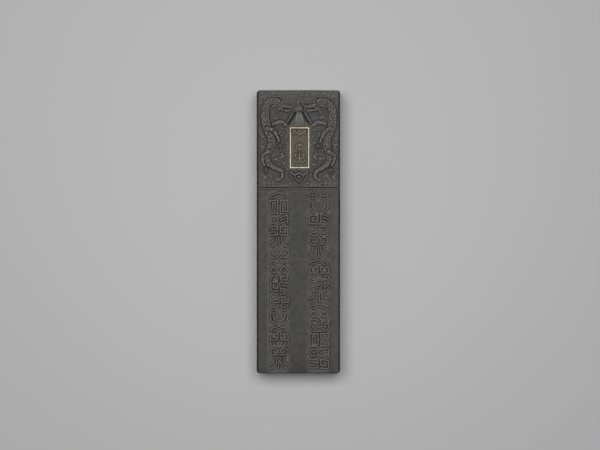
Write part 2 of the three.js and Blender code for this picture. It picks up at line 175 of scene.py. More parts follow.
class Relief:
    """The height of the front above its plain ground, in millimetres, on a square grid."""

    def __init__(self, low, high, pitch):
        self.pitch = pitch
        self.low = np.array(low, float)
        count = np.round((np.array(high) - self.low) / pitch).astype(int) + 1
        self.x = self.low[0] + pitch * np.arange(count[0])
        self.y = self.low[1] + pitch * np.arange(count[1])
        self.h = np.zeros((count[1], count[0]))
        self.tones = {}         # other fields on the same grid, which the ink's material reads

    def window(self, low, high):
        """The cells inside a rectangle: their slices, and their x and y."""
        first = np.maximum(0, np.floor((np.array(low) - self.low) / self.pitch)).astype(int)
        last = np.maximum(0, np.ceil((np.array(high) - self.low) / self.pitch) + 1).astype(int)
        box = (slice(first[1], last[1]), slice(first[0], last[0]))
        return (box, *np.meshgrid(self.x[box[1]], self.y[box[0]]))

    def follow(self, line, reach):
        """For the cells near a line: how far off it, how far along it, and on which side each one is."""
        box, gx, gy = self.window(line.min(0) - reach, line.max(0) + reach)
        off = np.full(gx.shape, 1e9)
        along = np.zeros(gx.shape)
        side = np.ones(gx.shape)
        run = 0.0
        corner = np.array([gx[0, 0], gy[0, 0]]) if gx.size else np.zeros(2)
        for a, b in zip(line, line[1:]):
            n = hypot(*(b - a))
            if n < 1e-9:
                continue
            d = (b - a) / n
            first = np.maximum(0, (np.minimum(a, b) - reach - corner) / self.pitch).astype(int)
            last = np.maximum(0, (np.maximum(a, b) + reach - corner) / self.pitch + 2).astype(int)
            part = (slice(first[1], last[1]), slice(first[0], last[0]))
            px, py = gx[part] - a[0], gy[part] - a[1]
            t = np.clip(px * d[0] + py * d[1], 0, n)
            q = np.hypot(px - t * d[0], py - t * d[1])
            near = q < off[part]
            off[part][near] = q[near]
            along[part][near] = (run + t)[near]
            side[part][near] = np.where(d[0] * py - d[1] * px < 0, -1, 1)[near]
            run += n
        return box, off, along, side, run

    def lay(self, box, form, outside, moat, stack):
        """Lays a form over what is there. A fine cut runs round it, and it rides up a little on it."""
        h = self.h[box]
        cut = h - moat * np.exp(-(np.maximum(outside, 0) / MOAT_REACH) ** 2)
        h[:] = np.where(outside < 0, stack * np.maximum(h, 0) + form, cut)

    def at(self, x, y, field=None):
        """The height, or another field on the same grid, at any places."""
        field = self.h if field is None else field
        u = np.clip((x - self.low[0]) / self.pitch, 0, field.shape[1] - 1.001)
        v = np.clip((y - self.low[1]) / self.pitch, 0, field.shape[0] - 1.001)
        i, j = u.astype(int), v.astype(int)
        u, v = u - i, v - j
        low = field[j, i] * (1 - u) + field[j, i + 1] * u
        high = field[j + 1, i] * (1 - u) + field[j + 1, i + 1] * u
        return low * (1 - v) + high * v


class Pen:
    """Draws forms in a frame of its own, which can be moved, turned and mirrored. All in millimetres."""

    def __init__(self, relief, origin=(0, 0), turn=0.0, flip=1, hand=None):
        self.relief = relief
        self.origin = np.array(origin, float)
        self.turn = turn
        self.flip = flip
        self.hand = hand        # a random generator: the small unevenness of a carver's hand

    def frame(self, at, turn=0.0):
        turned = self.turn + self.flip * radians(turn)
        return Pen(self.relief, self.place([at])[0], turned, self.flip, self.hand)

    def place(self, points):
        p = np.array(points, float) * [self.flip, 1]
        c, s = cos(self.turn), sin(self.turn)
        return self.origin + p @ np.array([[c, s], [-s, c]])

    def drawn(self, points):
        """Where the points really land: a carver's lines wander slowly, and never the same way twice."""
        p = self.place(points)
        if self.hand is not None:
            p = p + WANDER * np.column_stack([lattice_noise(p, 8.0, seed) for seed in (31, 32)])
        return p

    def line(self, points, straight=False):
        p = self.drawn(points)
        if self.hand is not None:
            p = p + self.hand.normal(0, 0.05, p.shape)
        return p if straight else spline(p)

    def stroke(self, points, start, end=None, height=0.3, swell=0.0, moat=0.18, stack=0.5, straight=False,
               flat=0.0):
        """A raised stroke. Its half width runs from start to end, and flat gives it a level top."""
        end = start if end is None else end
        line = self.line(points, straight)
        box, off, along, _, run = self.relief.follow(line, max(start, end) + swell + 0.7)
        u = along / run
        half = start + (end - start) * u + swell * np.sin(pi * np.clip(u, 0, 1))
        if flat:
            rise = np.clip((half - off) / flat, 0, 1)
            form = height * rise * (2 - rise)
        else:
            t = np.clip(off / half, 0, 1)
            form = height * np.sqrt(1 - t * t) * np.clip(half / max(start, end), 0.3, 1) ** 0.6
        self.relief.lay(box, form, off - half, moat, stack)

    def bump(self, at, rx, ry=None, height=0.3, turn=0.0, moat=0.18, stack=0.5, flat=0.0):
        """A raised oval, domed or with a level top."""
        ry = rx if ry is None else ry
        middle = self.drawn([at])[0]
        reach = max(rx, ry) + 0.7
        box, gx, gy = self.relief.window(middle - reach, middle + reach)
        angle = self.turn + self.flip * radians(turn)
        px, py = gx - middle[0], gy - middle[1]
        q = np.hypot((px * cos(angle) + py * sin(angle)) / rx, (py * cos(angle) - px * sin(angle)) / ry)
        if flat:
            rise = np.clip((1 - q) * min(rx, ry) / flat, 0, 1)
            form = height * rise * (2 - rise)
        else:
            form = height * np.sqrt(np.clip(1 - q * q, 0, 1))
        self.relief.lay(box, form, (q - 1) * min(rx, ry), moat, stack)

    def pit(self, at, radius, depth):
        middle = self.drawn([at])[0]
        box, gx, gy = self.relief.window(middle - 3 * radius, middle + 3 * radius)
        away = (gx - middle[0]) ** 2 + (gy - middle[1]) ** 2
        self.relief.h[box] -= depth * np.exp(-away / radius ** 2)

    def cut(self, points, half, depth, straight=False):
        """A fine engraved line."""
        box, off, *_ = self.relief.follow(self.line(points, straight), half * 3)
        self.relief.h[box] -= depth * np.exp(-(off / half) ** 2)

    def spiral(self, at, radius, turns=1.4, hand=1, start=1.2, steps=16):
        """The points of a spiral that winds in from its rim."""
        points = []
        for k in range(steps):
            r = radius * (1 - 0.85 * k / steps)
            angle = start + 2 * pi * turns * hand * k / steps
            points.append((at[0] + r * cos(angle), at[1] + r * sin(angle)))
        return points


def scales(along, across, pitch, rise):
    """Overlapping scales, each of which lifts towards its free edge and hides the root of the next."""
    height = np.zeros(along.shape)
    done = np.zeros(along.shape, bool)
    wide, long = 1.15 * pitch, 1.75 * pitch
    for back in (2, 1, 0):
        row = np.floor(along / pitch) - back
        shift = 0.5 * np.mod(row, 2)
        du = along - row * pitch
        dv = across - (np.round(across / wide - shift) + shift) * wide
        q = np.hypot(du / long, dv / (0.62 * wide))
        inside = (q < 1) & ~done
        lift = rise * np.clip(0.15 + 0.85 * du / long, 0, 1) * np.clip((1 - q) * 6, 0, 1)
        height[inside] = lift[inside]
        done |= inside
    return height


# ---- The dragons. Each is drawn facing left, from the middle line and up from the double line ----

SPINE = [(9.2, 41.2), (11.9, 43.2), (15.0, 42.2), (16.9, 38.6), (17.0, 33.0), (15.6, 28.2), (14.0, 24.2),
         (14.1, 20.2), (15.6, 16.6), (15.0, 12.6), (11.8, 10.2), (8.8, 8.6), (8.4, 5.6), (10.6, 3.6)]
SPINE_HALF = [1.4, 1.7, 2.0, 2.2, 2.3, 2.25, 2.15, 2.05, 1.95, 1.7, 1.45, 1.15, 0.9, 0.6]
FIN_SPACING = 1.8


def dragon_body(pen):
    """Scales along the back and plates along the belly."""
    relief = pen.relief
    box, off, along, side, run = relief.follow(pen.line(SPINE), 3.2)
    across = side * pen.flip * off
    half = np.interp(along, np.linspace(0, run, len(SPINE_HALF)), SPINE_HALF)
    t = np.clip(off / half, 0, 1)
    belly_edge = -0.42 * half
    plates = 0.28 * np.mod(along / 1.3, 1.0) * np.clip((1 - t) * 5, 0, 1)
    scaled = scales(along, across, 1.5, 0.4) * np.clip((1 - t) * 5, 0, 1)
    seam = 0.14 * np.exp(-((across - belly_edge) / 0.18) ** 2)
    form = 0.22 * np.sqrt(1 - t ** 2.4) + np.where(across < belly_edge, plates, scaled) - seam
    relief.lay(box, form, off - half, 0.24, 0.1)


def dragon_fins(pen):
    """A row of small fins along the back, each leaning towards the tail."""
    line = pen.line(SPINE)
    steps = np.diff(line, axis=0)
    reached = np.concatenate([[0], np.cumsum(np.hypot(*steps.T))])
    run = reached[-1]
    count = int(run / FIN_SPACING)
    plain = Pen(pen.relief)
    for k in range(1, count):
        s = k * run / count
        i = min(np.searchsorted(reached, s), len(steps) - 1)
        d = steps[i] / hypot(*steps[i])
        out = np.array([-d[1], d[0]]) * pen.flip
        half = np.interp(s, np.linspace(0, run, len(SPINE_HALF)), SPINE_HALF)
        root = line[i] + out * (half - 0.5)
        tip = root + 1.35 * out + 1.1 * d
        plain.stroke([root, (root + tip) / 2 + 0.22 * out, tip], 0.5, 0.1, 0.3, moat=0.16, stack=0.2)


def dragon_limb(pen, points, start, end, height=0.32):
    relief = pen.relief
    box, off, along, side, run = relief.follow(pen.line(points), start + 0.9)
    half = start + (end - start) * np.clip(along / run, 0, 1)
    t = np.clip(off / half, 0, 1)
    skin = scales(along, side * off, 1.2, 0.32) * np.clip((1 - t) * 4, 0, 1)
    relief.lay(box, height * np.sqrt(1 - t ** 2.4) + skin - 0.06, off - half, 0.28, 0.2)


def paw(pen, at, turn, claws=4, size=1.0):
    """Spread toes, each with a knuckle and a hooked claw, and a spur behind."""
    p = pen.frame(at, turn)
    for k in range(claws):
        angle = radians(-68 + 136 * k / (claws - 1))
        bend = angle + radians(18 if k % 2 else -18)
        knuckle = 1.35 * size * np.array([sin(angle), cos(angle)])
        tip = knuckle + 1.45 * size * np.array([sin(bend), cos(bend)])
        p.stroke([(0, 0), knuckle], 0.44 * size, 0.36 * size, 0.42, moat=0.24)
        p.stroke([0.9 * knuckle, (knuckle + tip) / 2, tip], 0.3 * size, 0.08, 0.4, moat=0.2)
        p.bump(0.95 * knuckle, 0.36 * size, height=0.24, moat=0.0)
    p.stroke([(0, -0.2), (0, -1.1), (0.1, -1.9)], 0.3, 0.07, 0.34)
    p.bump((0, 0), 0.75 * size, height=0.4, moat=0.08)


def tuft(pen, at, turn, reach=2.6, locks=3, spread=34, half=0.34, height=0.34):
    """Locks of hair or tongues of flame that fan out from one root."""
    p = pen.frame(at, turn)
    for k in range(locks):
        off_middle = k - (locks - 1) / 2
        s, c = sin(radians(spread * off_middle)), cos(radians(spread * off_middle))
        sway = 0.27 if k % 2 else -0.27
        n = reach * (1 - 0.12 * abs(off_middle))
        middle = (0.5 * n * s + sway * c, 0.5 * n * c - sway * s)
        tip = (n * s - sway * c, n * c + sway * s)
        p.stroke([(0, 0), middle, tip], half, 0.07, height, moat=0.2, stack=0.2)


def cloud(pen, at, turn=0.0, size=1.0, tail=0.0, height=0.3):
    """Three scrolled lobes and a trailing wisp."""
    p = pen.frame(at, turn)
    if tail:
        wisp = [(0.2 * size, -0.4 * size), (0.6 * tail, -0.9 * size), (1.2 * tail, -0.5 * size),
                (1.7 * tail, -0.8 * size)]
        p.stroke(wisp, 0.42 * size, 0.08, 0.8 * height)
    for x, y, r in ((-1.05, -0.1, 0.9), (0.95, 0.05, 0.9), (0, 0.8, 1.05)):
        middle = (x * size, y * size)
        p.bump(middle, r * size, height=height, stack=0.0, flat=0.3)
        p.cut(p.spiral(middle, 0.62 * r * size, hand=1 if x > 0 else -1), 0.13, 0.24)


MANE = [(1.6, 1.6, 6.6, 3.0), (2.0, 1.3, 6.0, 2.0), (2.2, 0.9, 7.4, 1.4), (2.5, 0.1, 7.6, -0.4),
        (2.5, -0.4, 6.8, -1.4), (2.4, -0.8, 7.0, -2.6), (2.0, -1.6, 5.8, -4.2), (1.2, -2.0, 4.0, -5.2)]
BEARD = [(-2.2, -2.5, -2.2, -5.0), (-1.2, -2.6, -0.8, -5.2), (-0.2, -2.4, 0.6, -5.2), (0.6, -2.4, 2.2, -5.0)]


def dragon_mane(p):
    for x, y, tip_x, tip_y in MANE:
        dx, dy = tip_x - x, tip_y - y
        nx, ny = -dy / hypot(dx, dy), dx / hypot(dx, dy)
        rise = (x + 0.5 * dx + 0.55 * nx, y + 0.5 * dy + 0.55 * ny)
        dip = (x + 0.82 * dx - 0.35 * nx, y + 0.82 * dy - 0.35 * ny)
        p.stroke([(x, y), rise, dip, (tip_x, tip_y)], 0.5, 0.1, 0.42, swell=0.1, moat=0.22, stack=0.2)
        p.cut([(x + 0.1 * dx, y + 0.1 * dy), rise, dip], 0.1, 0.16)
    for x, y, tip_x, tip_y in BEARD:
        p.stroke([(x, y), ((x + tip_x) / 2 - 0.35, (y + tip_y) / 2), (tip_x, tip_y)], 0.36, 0.08, 0.36)


def dragon_skull(p):
    # horns and ear
    p.stroke([(0.5, 1.3), (1.3, 2.9), (3.2, 3.9), (5.4, 3.7)], 0.45, 0.18, 0.44, moat=0.24)
    p.stroke([(2.0, 3.3), (2.9, 4.5), (4.1, 4.9)], 0.32, 0.14, 0.4, moat=0.2)
    p.stroke([(1.7, 0.9), (2.8, 1.6), (4.0, 1.7)], 0.5, 0.12, 0.42)
    p.cut([(2.0, 1.1), (2.9, 1.55), (3.6, 1.6)], 0.12, 0.2)
    # lower jaw and tongue
    p.stroke([(2.0, -1.4), (0.2, -2.2), (-1.9, -2.3), (-3.4, -1.9)], 0.8, 0.5, 0.36, moat=0.1)
    p.stroke([(-0.3, -1.6), (-2.1, -1.7), (-3.6, -1.4)], 0.36, 0.2, 0.26, moat=0.06)
    # skull, cheek, muzzle and lip
    p.bump((0.6, -0.1), 2.1, 1.65, 0.42, moat=0.22, stack=0.25)
    p.bump((0.8, -1.1), 1.2, 0.9, 0.24, turn=-20, moat=0.1, stack=0.7)
    p.stroke([(0.3, -0.2), (-1.7, -0.35), (-3.4, -0.1)], 1.15, 0.8, 0.4, moat=0.2, stack=0.4)
    lip = [(1.3, -1.3), (-0.8, -1.35), (-2.6, -1.1), (-4.3, -1.05)]
    p.stroke(lip, 0.28, 0.18, 0.22, moat=0.16, stack=0.8)
    for x in (-3.9, -2.9, -1.8, -0.8):
        p.stroke([(x, -1.3), (x - 0.05, -1.85)], 0.18, 0.06, 0.26, moat=0.1)
    # nose
    p.bump((-4.05, 0.1), 0.8, 0.72, 0.4, moat=0.2, stack=0.3)
    p.bump((-3.7, 0.75), 0.42, 0.36, 0.26, moat=0.14, stack=0.5)
    p.pit((-4.25, 0.05), 0.22, 0.3)
    for x in (-2.9, -2.3, -1.7):
        p.cut([(x, 0.75), (x + 0.15, 0.1), (x - 0.05, -0.5)], 0.1, 0.16)


def dragon_face(p):
    # brow, its hairs, and the eye
    p.stroke([(-1.9, 0.6), (-0.9, 1.35), (0.5, 1.45), (1.7, 0.8)], 0.4, 0.16, 0.3, moat=0.18, stack=0.6)
    for x, y in ((-1.4, 1.2), (-0.7, 1.6), (0.1, 1.75), (0.9, 1.6)):
        p.stroke([(x, y), (x + 0.25, y + 0.6), (x + 0.7, y + 1.0)], 0.24, 0.07, 0.3, moat=0.14)
    p.bump((-0.45, 0.35), 0.62, 0.5, 0.26, moat=0.24, stack=0.5)
    p.pit((-0.5, 0.32), 0.18, 0.26)
    p.cut([(-1.1, 0.0), (-0.4, -0.32), (0.4, 0.0)], 0.1, 0.18)
    # whiskers
    p.stroke([(-4.2, 0.5), (-5.2, 1.7), (-4.6, 3.2), (-3.0, 3.8), (-1.6, 3.2)], 0.3, 0.1, 0.38, moat=0.22)
    p.stroke([(-4.3, -0.6), (-5.2, -2.2), (-4.4, -4.2), (-2.6, -5.6), (-1.8, -7.4), (-2.6, -9.0)],
             0.32, 0.1, 0.4, moat=0.24)


# Where each cloud lies: x, y, turn, size and length of its wisp.
CLOUDS = [(17.4, 45.2, 0, 1.0, 0.0), (12.9, 46.8, 0, 0.7, 0.0), (12.4, 34.8, 20, 0.8, 0.0),
          (18.9, 25.0, 90, 0.75, 2.0), (18.4, 20.6, 60, 0.8, 0.0), (9.4, 27.0, -80, 0.8, 1.4),
          (8.6, 16.4, 90, 0.85, 1.5), (11.6, 14.4, 20, 0.75, 0.0), (18.2, 5.6, 100, 0.9, 1.4),
          (14.4, 5.0, 0, 1.0, 0.0), (7.4, 12.4, 160, 0.7, 0.0)]
WAVE_ROWS = ((0.9, 6.8), (2.0, 11.4))     # height above the double line, and where the row starts
LOCK = [(6.9, 31.7), (9.6, 33.1), (13.5, 32.0)]


def dragon(pen):
    for x, y, turn, size, tail in CLOUDS:
        at = np.array([x, y]) + pen.hand.uniform(-0.6, 0.6, 2)
        cloud(pen, at, turn + pen.hand.uniform(-25, 25), size * pen.hand.uniform(0.85, 1.15), tail)
    for y, start in WAVE_ROWS:
        for x in np.arange(start, 19.2, 2.1):
            for r in (1.05, 0.5):
                pen.stroke([(x - r, y - 0.3), (x, y + r), (x + r, y - 0.3)], 0.2, height=0.26, moat=0.14)
    # flames that rise from the shoulder into the corner
    for k in range(5):
        pen.stroke([(11.6 + 1.7 * k, 43.6), (12.4 + 1.7 * k, 45.4), (12.0 + 1.7 * k, 47.4)], 0.34, 0.08, 0.32)
    # a tail of six long locks, fins, and the body over them
    for turn, reach in ((-150, 3.0), (-128, 3.4), (-106, 3.6), (-84, 3.4), (-62, 3.2), (-40, 3.0)):
        tuft(pen, (10.2, 4.0), turn, reach, 1, half=0.44)
    dragon_fins(pen)
    dragon_body(pen)
    # fore and hind limbs
    dragon_limb(pen, [(16.2, 29.6), (13.2, 28.6), (11.6, 26.0), (10.2, 23.2)], 1.4, 0.65)
    tuft(pen, (12.8, 29.0), 60, 2.6)
    paw(pen, (9.6, 21.2), 188, size=1.15)
    dragon_limb(pen, [(15.2, 18.0), (17.6, 16.2), (17.9, 13.4), (16.8, 11.2)], 1.3, 0.6)
    tuft(pen, (17.9, 15.6), 30, 2.0, 2)
    paw(pen, (16.2, 9.2), 200, size=1.15)
    # a broad smooth lock that sweeps out under the jaw, parted along its length
    pen.stroke(LOCK, 0.9, 0.7, 0.36, swell=0.3, moat=0.16, stack=0.1, flat=0.4)
    pen.cut([(x, y - 0.25) for x, y in LOCK], 0.12, 0.12)
    p = pen.frame((7.5, 41.2), 8)
    dragon_mane(p)
    dragon_skull(p)
    dragon_face(p)


def crest(pen):
    """The flaming pearl, the canopy over the cartouche and the pendant under it."""
    for turn, reach, x in ((-58, 3.4, -1.0), (-30, 4.8, -0.7), (0, 6.6, 0.0), (30, 4.8, 0.7), (58, 3.4, 1.0)):
        tuft(pen, (x, 40.6), turn, reach, 1, half=0.55, height=0.4)
    for turn in (-34, 34):
        tuft(pen, (0, 42.6), turn, 3.4, 1, half=0.32, height=0.4)
    pen.bump((0, 39.5), 2.15, height=0.26, flat=0.3, stack=0.0, moat=0.26)
    pen.bump((0, 39.5), 1.6, height=0.42, stack=0.2, moat=0.28)
    pen.cut(pen.spiral((0, 39.5), 1.1, 1.6), 0.16, 0.3)
    # a smooth canopy between two long cuts
    middle = [(0.2, 36.8), (0.2, 32.2)]
    pen.stroke(middle, 1.7, 2.8, height=0.22, flat=0.3, straight=True, moat=0.2, stack=0.0)
    for side in (-1, 1):
        pen.cut([(side * 2.0, 37.4), (side * 3.1, 35.0), (side * 5.2, 31.8)], 0.42, 0.55)
        eave = [(side * 3.3, 37.4), (side * 4.6, 35.0), (side * 6.4, 32.6)]
        pen.stroke(eave, 0.5, 0.4, 0.5, stack=0.1, moat=0.3, flat=0.2)
    # the pendant: a bowed bar, a bead and two nested chevrons
    pen.stroke([(-4.2, 8.0), (-2.2, 6.4), (0, 7.4), (2.2, 6.4), (4.2, 8.0)], 0.6, height=0.42, moat=0.26)
    for side in (-1, 1):
        pen.stroke([(side * 4.4, 6.6), (side * 2.4, 3.4), (0, 0.8)], 0.42, 0.36, 0.44, moat=0.3, flat=0.2)
        pen.stroke([(side * 2.2, 5.8), (side * 1.2, 4.0), (0, 2.6)], 0.34, 0.3, 0.36, moat=0.26, flat=0.2)
    pen.bump((0, 5.6), 0.9, 0.8, 0.42)


CURL_PITCH = 2.15            # of the little scrolls that fill the ground


def filling_curls(relief, line_y, hand):
    """Little scrolls of cloud on the ground left between the larger forms."""
    for room, half in ((0.9, 0.26), (0.55, 0.2)):
        for y in np.arange(line_y + 2.0, relief.y[-1] - 0.6, CURL_PITCH / 2):
            for x in np.arange(0.6, relief.x[-1] - 0.6, CURL_PITCH / 2):
                for flip in (1, -1):
                    at = np.array([flip * x, y]) + hand.normal(0, 0.15, 2)
                    box, gx, gy = relief.window(at - room, at + room)
                    if np.abs(relief.h[box]).max() > 0.06 or frame_distance(gx, gy).min() < 0.5:
                        continue
                    pen = Pen(relief, at, hand.uniform(0, 2 * pi), flip)
                    pen.stroke(pen.spiral((0, 0), 0.9 * room, 1.1), half, 0.8 * half, 0.34, moat=0.22)


# ---- The ornament in the two columns ----

# Each cell is drawn in a square from -1 to 1, with straight or with curved lines.
CELLS = {
    "fret": (True, [[(-1, -1), (1, -1), (1, 1), (-1, 1), (-1, -0.33), (0.33, -0.33), (0.33, 0.33),
        (-0.33, 0.33)]]),
    "tower": (True, [[(-1, -1), (1, -1), (1, 1), (-1, 1), (-1, -0.66), (0.33, -0.66), (0.33, 0.66),
        (-0.33, 0.66), (-0.33, -0.3)]]),
    "hooks": (True, [[(-1, 0.3), (-1, 1), (1, 1), (1, 0.2), (0, 0.2)], [(1, -0.4), (1, -1), (-1, -1),
        (-1, -0.3), (0.1, -0.3)]]),
    "scroll": (False, [[(-1, -1), (0.2, -1), (1, -0.4), (0.85, 0.6), (0, 1), (-0.85, 0.6),
        (-0.85, -0.2), (-0.1, -0.4), (0.3, 0.15)]]),
    "comb": (False, [[(-1, 1), (-1, 0), (-1, -1)], [(-1, 1), (0.1, 0.9), (1, 0.5)], [(-0.3, 0.3),
        (0.3, 0.2), (1, -0.15)], [(-1, -0.4), (0.2, -0.5), (1, -0.9)]]),
    "gem": (True, [[(0, 1), (1, 0), (0, -1), (-1, 0), (0, 1)], [(0, 0.26), (0, -0.26)]]),
    "eye": (False, [[(-1, -0.2), (-0.5, 0.7), (0.5, 0.7), (1, -0.2), (0.3, -0.8), (-0.5, -0.8),
        (-1, -0.2)], [(-0.3, 0), (0.35, 0)]]),
    "twist": (False, [[(-0.9, 1), (0.6, 0.95), (0.9, 0.3), (-0.7, 0), (-0.9, -0.6), (0.1, -1),
        (1, -0.8)], [(0.5, -0.3), (1, -0.25)]]),
    "leaf": (False, [[(0, -1), (0.06, 0), (0, 1)], [(0, -0.1), (0.6, 0.2), (0.95, 0.9)], [(0, -0.1),
        (-0.6, 0.2), (-0.95, 0.9)], [(0, -0.9), (0.6, -0.7), (1, -0.05)], [(0, -0.9), (-0.6, -0.7),
        (-1, -0.05)]]),
    "canopy": (False, [[(-1, -0.9), (-0.8, 0.1), (-0.2, 0.6), (0, 1), (0.2, 0.6), (0.8, 0.1),
        (1, -0.9)], [(-0.62, -1), (-0.35, -0.4), (0, -0.1), (0.35, -0.4), (0.62, -1)]]),
    "bowl": (False, [[(-1, 1), (-0.9, -0.2), (-0.4, -1), (0.4, -1), (0.9, -0.2), (1, 1)], [(-0.66, 1),
        (-0.58, 0), (0, -0.4), (0.58, 0), (0.66, 1)], [(-0.3, 1), (-0.2, 0.4), (0.2, 0.4), (0.3, 1)]]),
    "meander": (True, [[(-1, -1), (-1, 1), (-0.25, 1), (-0.25, -0.3), (-0.62, -0.3)], [(1, 1),
        (1, -1), (0.25, -1), (0.25, 0.3), (0.62, 0.3)], [(-0.66, -1), (-0.05, -1)], [(0.05, 1),
        (0.66, 1)]]),
    "palm": (False, [[(0, -1), (0, 1)], [(0.3, 1), (0.25, 0), (0.6, -0.9), (1, -1)], [(0.66, 1),
        (0.6, 0.3), (1, -0.4)], [(-0.3, 1), (-0.25, 0), (-0.6, -0.9), (-1, -1)], [(-0.66, 1),
        (-0.6, 0.3), (-1, -0.4)]]),
}
# Each tile is rows of cells, with the share of its height that each row takes. A minus mirrors a cell.
TILES = {
    "temple": ((0.34, "canopy"), (0.66, "tower -tower")),
    "garden": ((0.4, "leaf leaf"), (0.6, "bowl")),
    "river": ((0.5, "-fret comb"), (0.5, "meander")),
    "market": ((0.5, "eye -comb"), (0.5, "hooks fret")),
    "forest": ((0.4, "-scroll scroll"), (0.6, "palm")),
    "mirror": ((0.5, "palm"), (0.5, "-scroll scroll")),
    "weaver": ((0.3, "canopy"), (0.4, "gem gem"), (0.3, "meander")),
    "bridge": ((0.36, "bowl"), (0.64, "-tower hooks")),
    "shrine": ((0.34, "canopy"), (0.36, "-fret fret"), (0.3, "bowl")),
    "meadow": ((0.55, "twist leaf"), (0.45, "palm")),
}
RIGHT_COLUMN = ("garden", "river", "forest", "shrine", "meadow", "weaver", "bridge", "market")
LEFT_COLUMN = ("temple", "market", "mirror", "weaver", "river", "garden", "shrine", "forest")
CELL_GAP = 1.3               # between the middles of strokes in neighbouring cells
COLUMN_MARGINS = (1.7, 2.4)  # plain ground over the columns and under them


def ornament_tile(relief, rows, x, y, width, height, size, hand):
    lean = hand.normal(0, 0.012)
    top = height / 2
    for share, cells in rows:
        names = cells.split()
        tall = share * (height + CELL_GAP) - CELL_GAP
        wide = (width + CELL_GAP) / len(names) - CELL_GAP
        for i, name in enumerate(names):
            straight, lines = CELLS[name.lstrip("-")]
            at = (x - width / 2 + wide / 2 + i * (wide + CELL_GAP), y + top - tall / 2)
            pen = Pen(relief, at, lean, -1 if name[0] == "-" else 1, hand)
            for line in lines:
                points = [(u * wide / 2, v * tall / 2) for u, v in line]
                pen.stroke(points, size.stroke_width / MM / 2, height=size.ornament_height / MM, moat=0.34,
                           stack=0.0, straight=straight, flat=0.14)
        top -= tall + CELL_GAP


def ornament_column(relief, names, x, width, size, hand):
    end = relief.y[-1] + size.edge_rounding / MM
    top = end - (size.upper_field + size.groove_spacing) / MM - COLUMN_MARGINS[0]
    bottom = -end + COLUMN_MARGINS[1]
    gap = size.tile_gap / MM
    pitch = (top - bottom + gap) / size.tiles
    for i in range(size.tiles):
        y = top - (i + 0.5) * pitch + gap / 2
        ornament_tile(relief, TILES[names[i % len(names)]], x, y, width, pitch - gap, size, hand)


# ---- The front as one height field ----

def cartouche():
    """The middle of the cartouche, its half width and its half length, in millimetres."""
    low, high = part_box("gilt_fillet")
    middle = [(low[k] + high[k]) / 2 / MM for k in (0, 1)]
    half = [(high[k] - low[k]) / 2 / MM + 0.06 for k in (0, 1)]
    return middle, half


def ground_level(size):
    """The height of the plain ground, in millimetres."""
    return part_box("gilt_fillet")[0][2] / MM - size.frame_height / MM


def frame_distance(x, y):
    """How far each place lies outside the cartouche's outer edge; inside is negative."""
    middle, half = cartouche()
    return np.maximum(np.abs(x - middle[0]) - half[0], np.abs(y - middle[1]) - half[1])


EMBLEM_HALF = 0.32           # half the width of the emblems' strokes
OUTLINE_HALF = 0.15          # and half the width of the bare cut that runs round each one
EMBLEMS = {
    "upper": [[(0, 0.62), (0.28, 0.72), (0.56, 0.66), (0.62, 0.78), (0.4, 0.82)],
              [(0, 0.84), (0.3, 0.76), (0.62, 0.86)], [(0, 0.86), (0, 0.6)]],
    "centre": [[(0, 0.19), (0.3, 0.1), (0.28, -0.02), (0, -0.1)], [(0, 0.22), (0, -0.12)]],
    "lower": [[(0, -0.22), (0, -0.68)], [(0, -0.55), (0.32, -0.48), (0.46, -0.32), (0.28, -0.26)],
              [(0, -0.65), (0.38, -0.7), (0.6, -0.56)]],
}


def stroke_distance(lines, half, ragged=0.0):
    """Distance from a set of lines drawn in shares of the panel's half width and half length."""
    middle, frame_half = cartouche()

    def distance(gx, gy):
        grid = Relief((gx[0, 0], gy[0, 0]), (gx[0, -1], gy[-1, 0]), gx[0, 1] - gx[0, 0])
        nearest = np.full(gx.shape, 9.0)
        for side in (1, -1):
            for line in lines:
                points = np.array([(middle[0] + side * u * frame_half[0], middle[1] + v * frame_half[1])
                                   for u, v in line])
                box, off, *_ = grid.follow(spline(points), 1.5)
                rows, columns = off.shape
                area = nearest[box[0].start:box[0].start + rows, box[1].start:box[1].start + columns]
                np.minimum(area, off[:area.shape[0], :area.shape[1]], out=area)
        return nearest - half + ragged * grid_noise(gx, gy, 0.5, 21)
    return distance


PILLOW_REACH = 6.5           # how far in from the edges the front starts to fall away
CRUMBLE = 0.6                # how much of a crest is gone where it has crumbled most
COLUMN_RUB_AND_HIGHLIGHT = 0.75            # the level strokes of the columns get less rubbing and less painted highlight than the dragons do
COLUMN_SOOT_AND_SHADE = 0.95           # and the narrow cuts round them get nearly as much soot and painted shade
MIDDLE_X = 0.3               # the middle line of the dragon field, a little right of the cake's
# Each column: its tiles, its side, how far its middle is shifted to the right, and its width.
COLUMNS = ((RIGHT_COLUMN, 1, 0.2, 9.6), (LEFT_COLUMN, -1, 0.4, 8.9))
HEAD_WORN = (0.9, 8)         # how strongly hands have worn the dragon end, and how far down
EDGE_WORN = (0.75, 0.25, 4.5)    # the same for the right edge and the left one, and how far in
FOOT_WORN = (0.35, 3)        # the same for the foot of the dragon field
TOPS_WORN = (0.25, 0.2)      # the same for the high forms of the columns and of the dragon field
BAND_WORN = (2.2, 6, 1.5)    # the same for the columns' bands, half their width, and how softly they end
SPILL_REACH = 2.2            # how far the gold and glue have run out from the frame


def draw_forms(relief, line_y, size):
    """The dragons, the crest, the curls between them and the two columns."""
    hand = np.random.default_rng(SEED)
    for flip in (1, -1):
        dragon(Pen(relief, (MIDDLE_X, line_y), 0, flip, hand))
    crest(Pen(relief, (MIDDLE_X, line_y)))
    filling_curls(relief, line_y, hand)
    for names, side, shift, width in COLUMNS:
        ornament_column(relief, names, shift + side * size.column_spacing / MM / 2, width, size, hand)


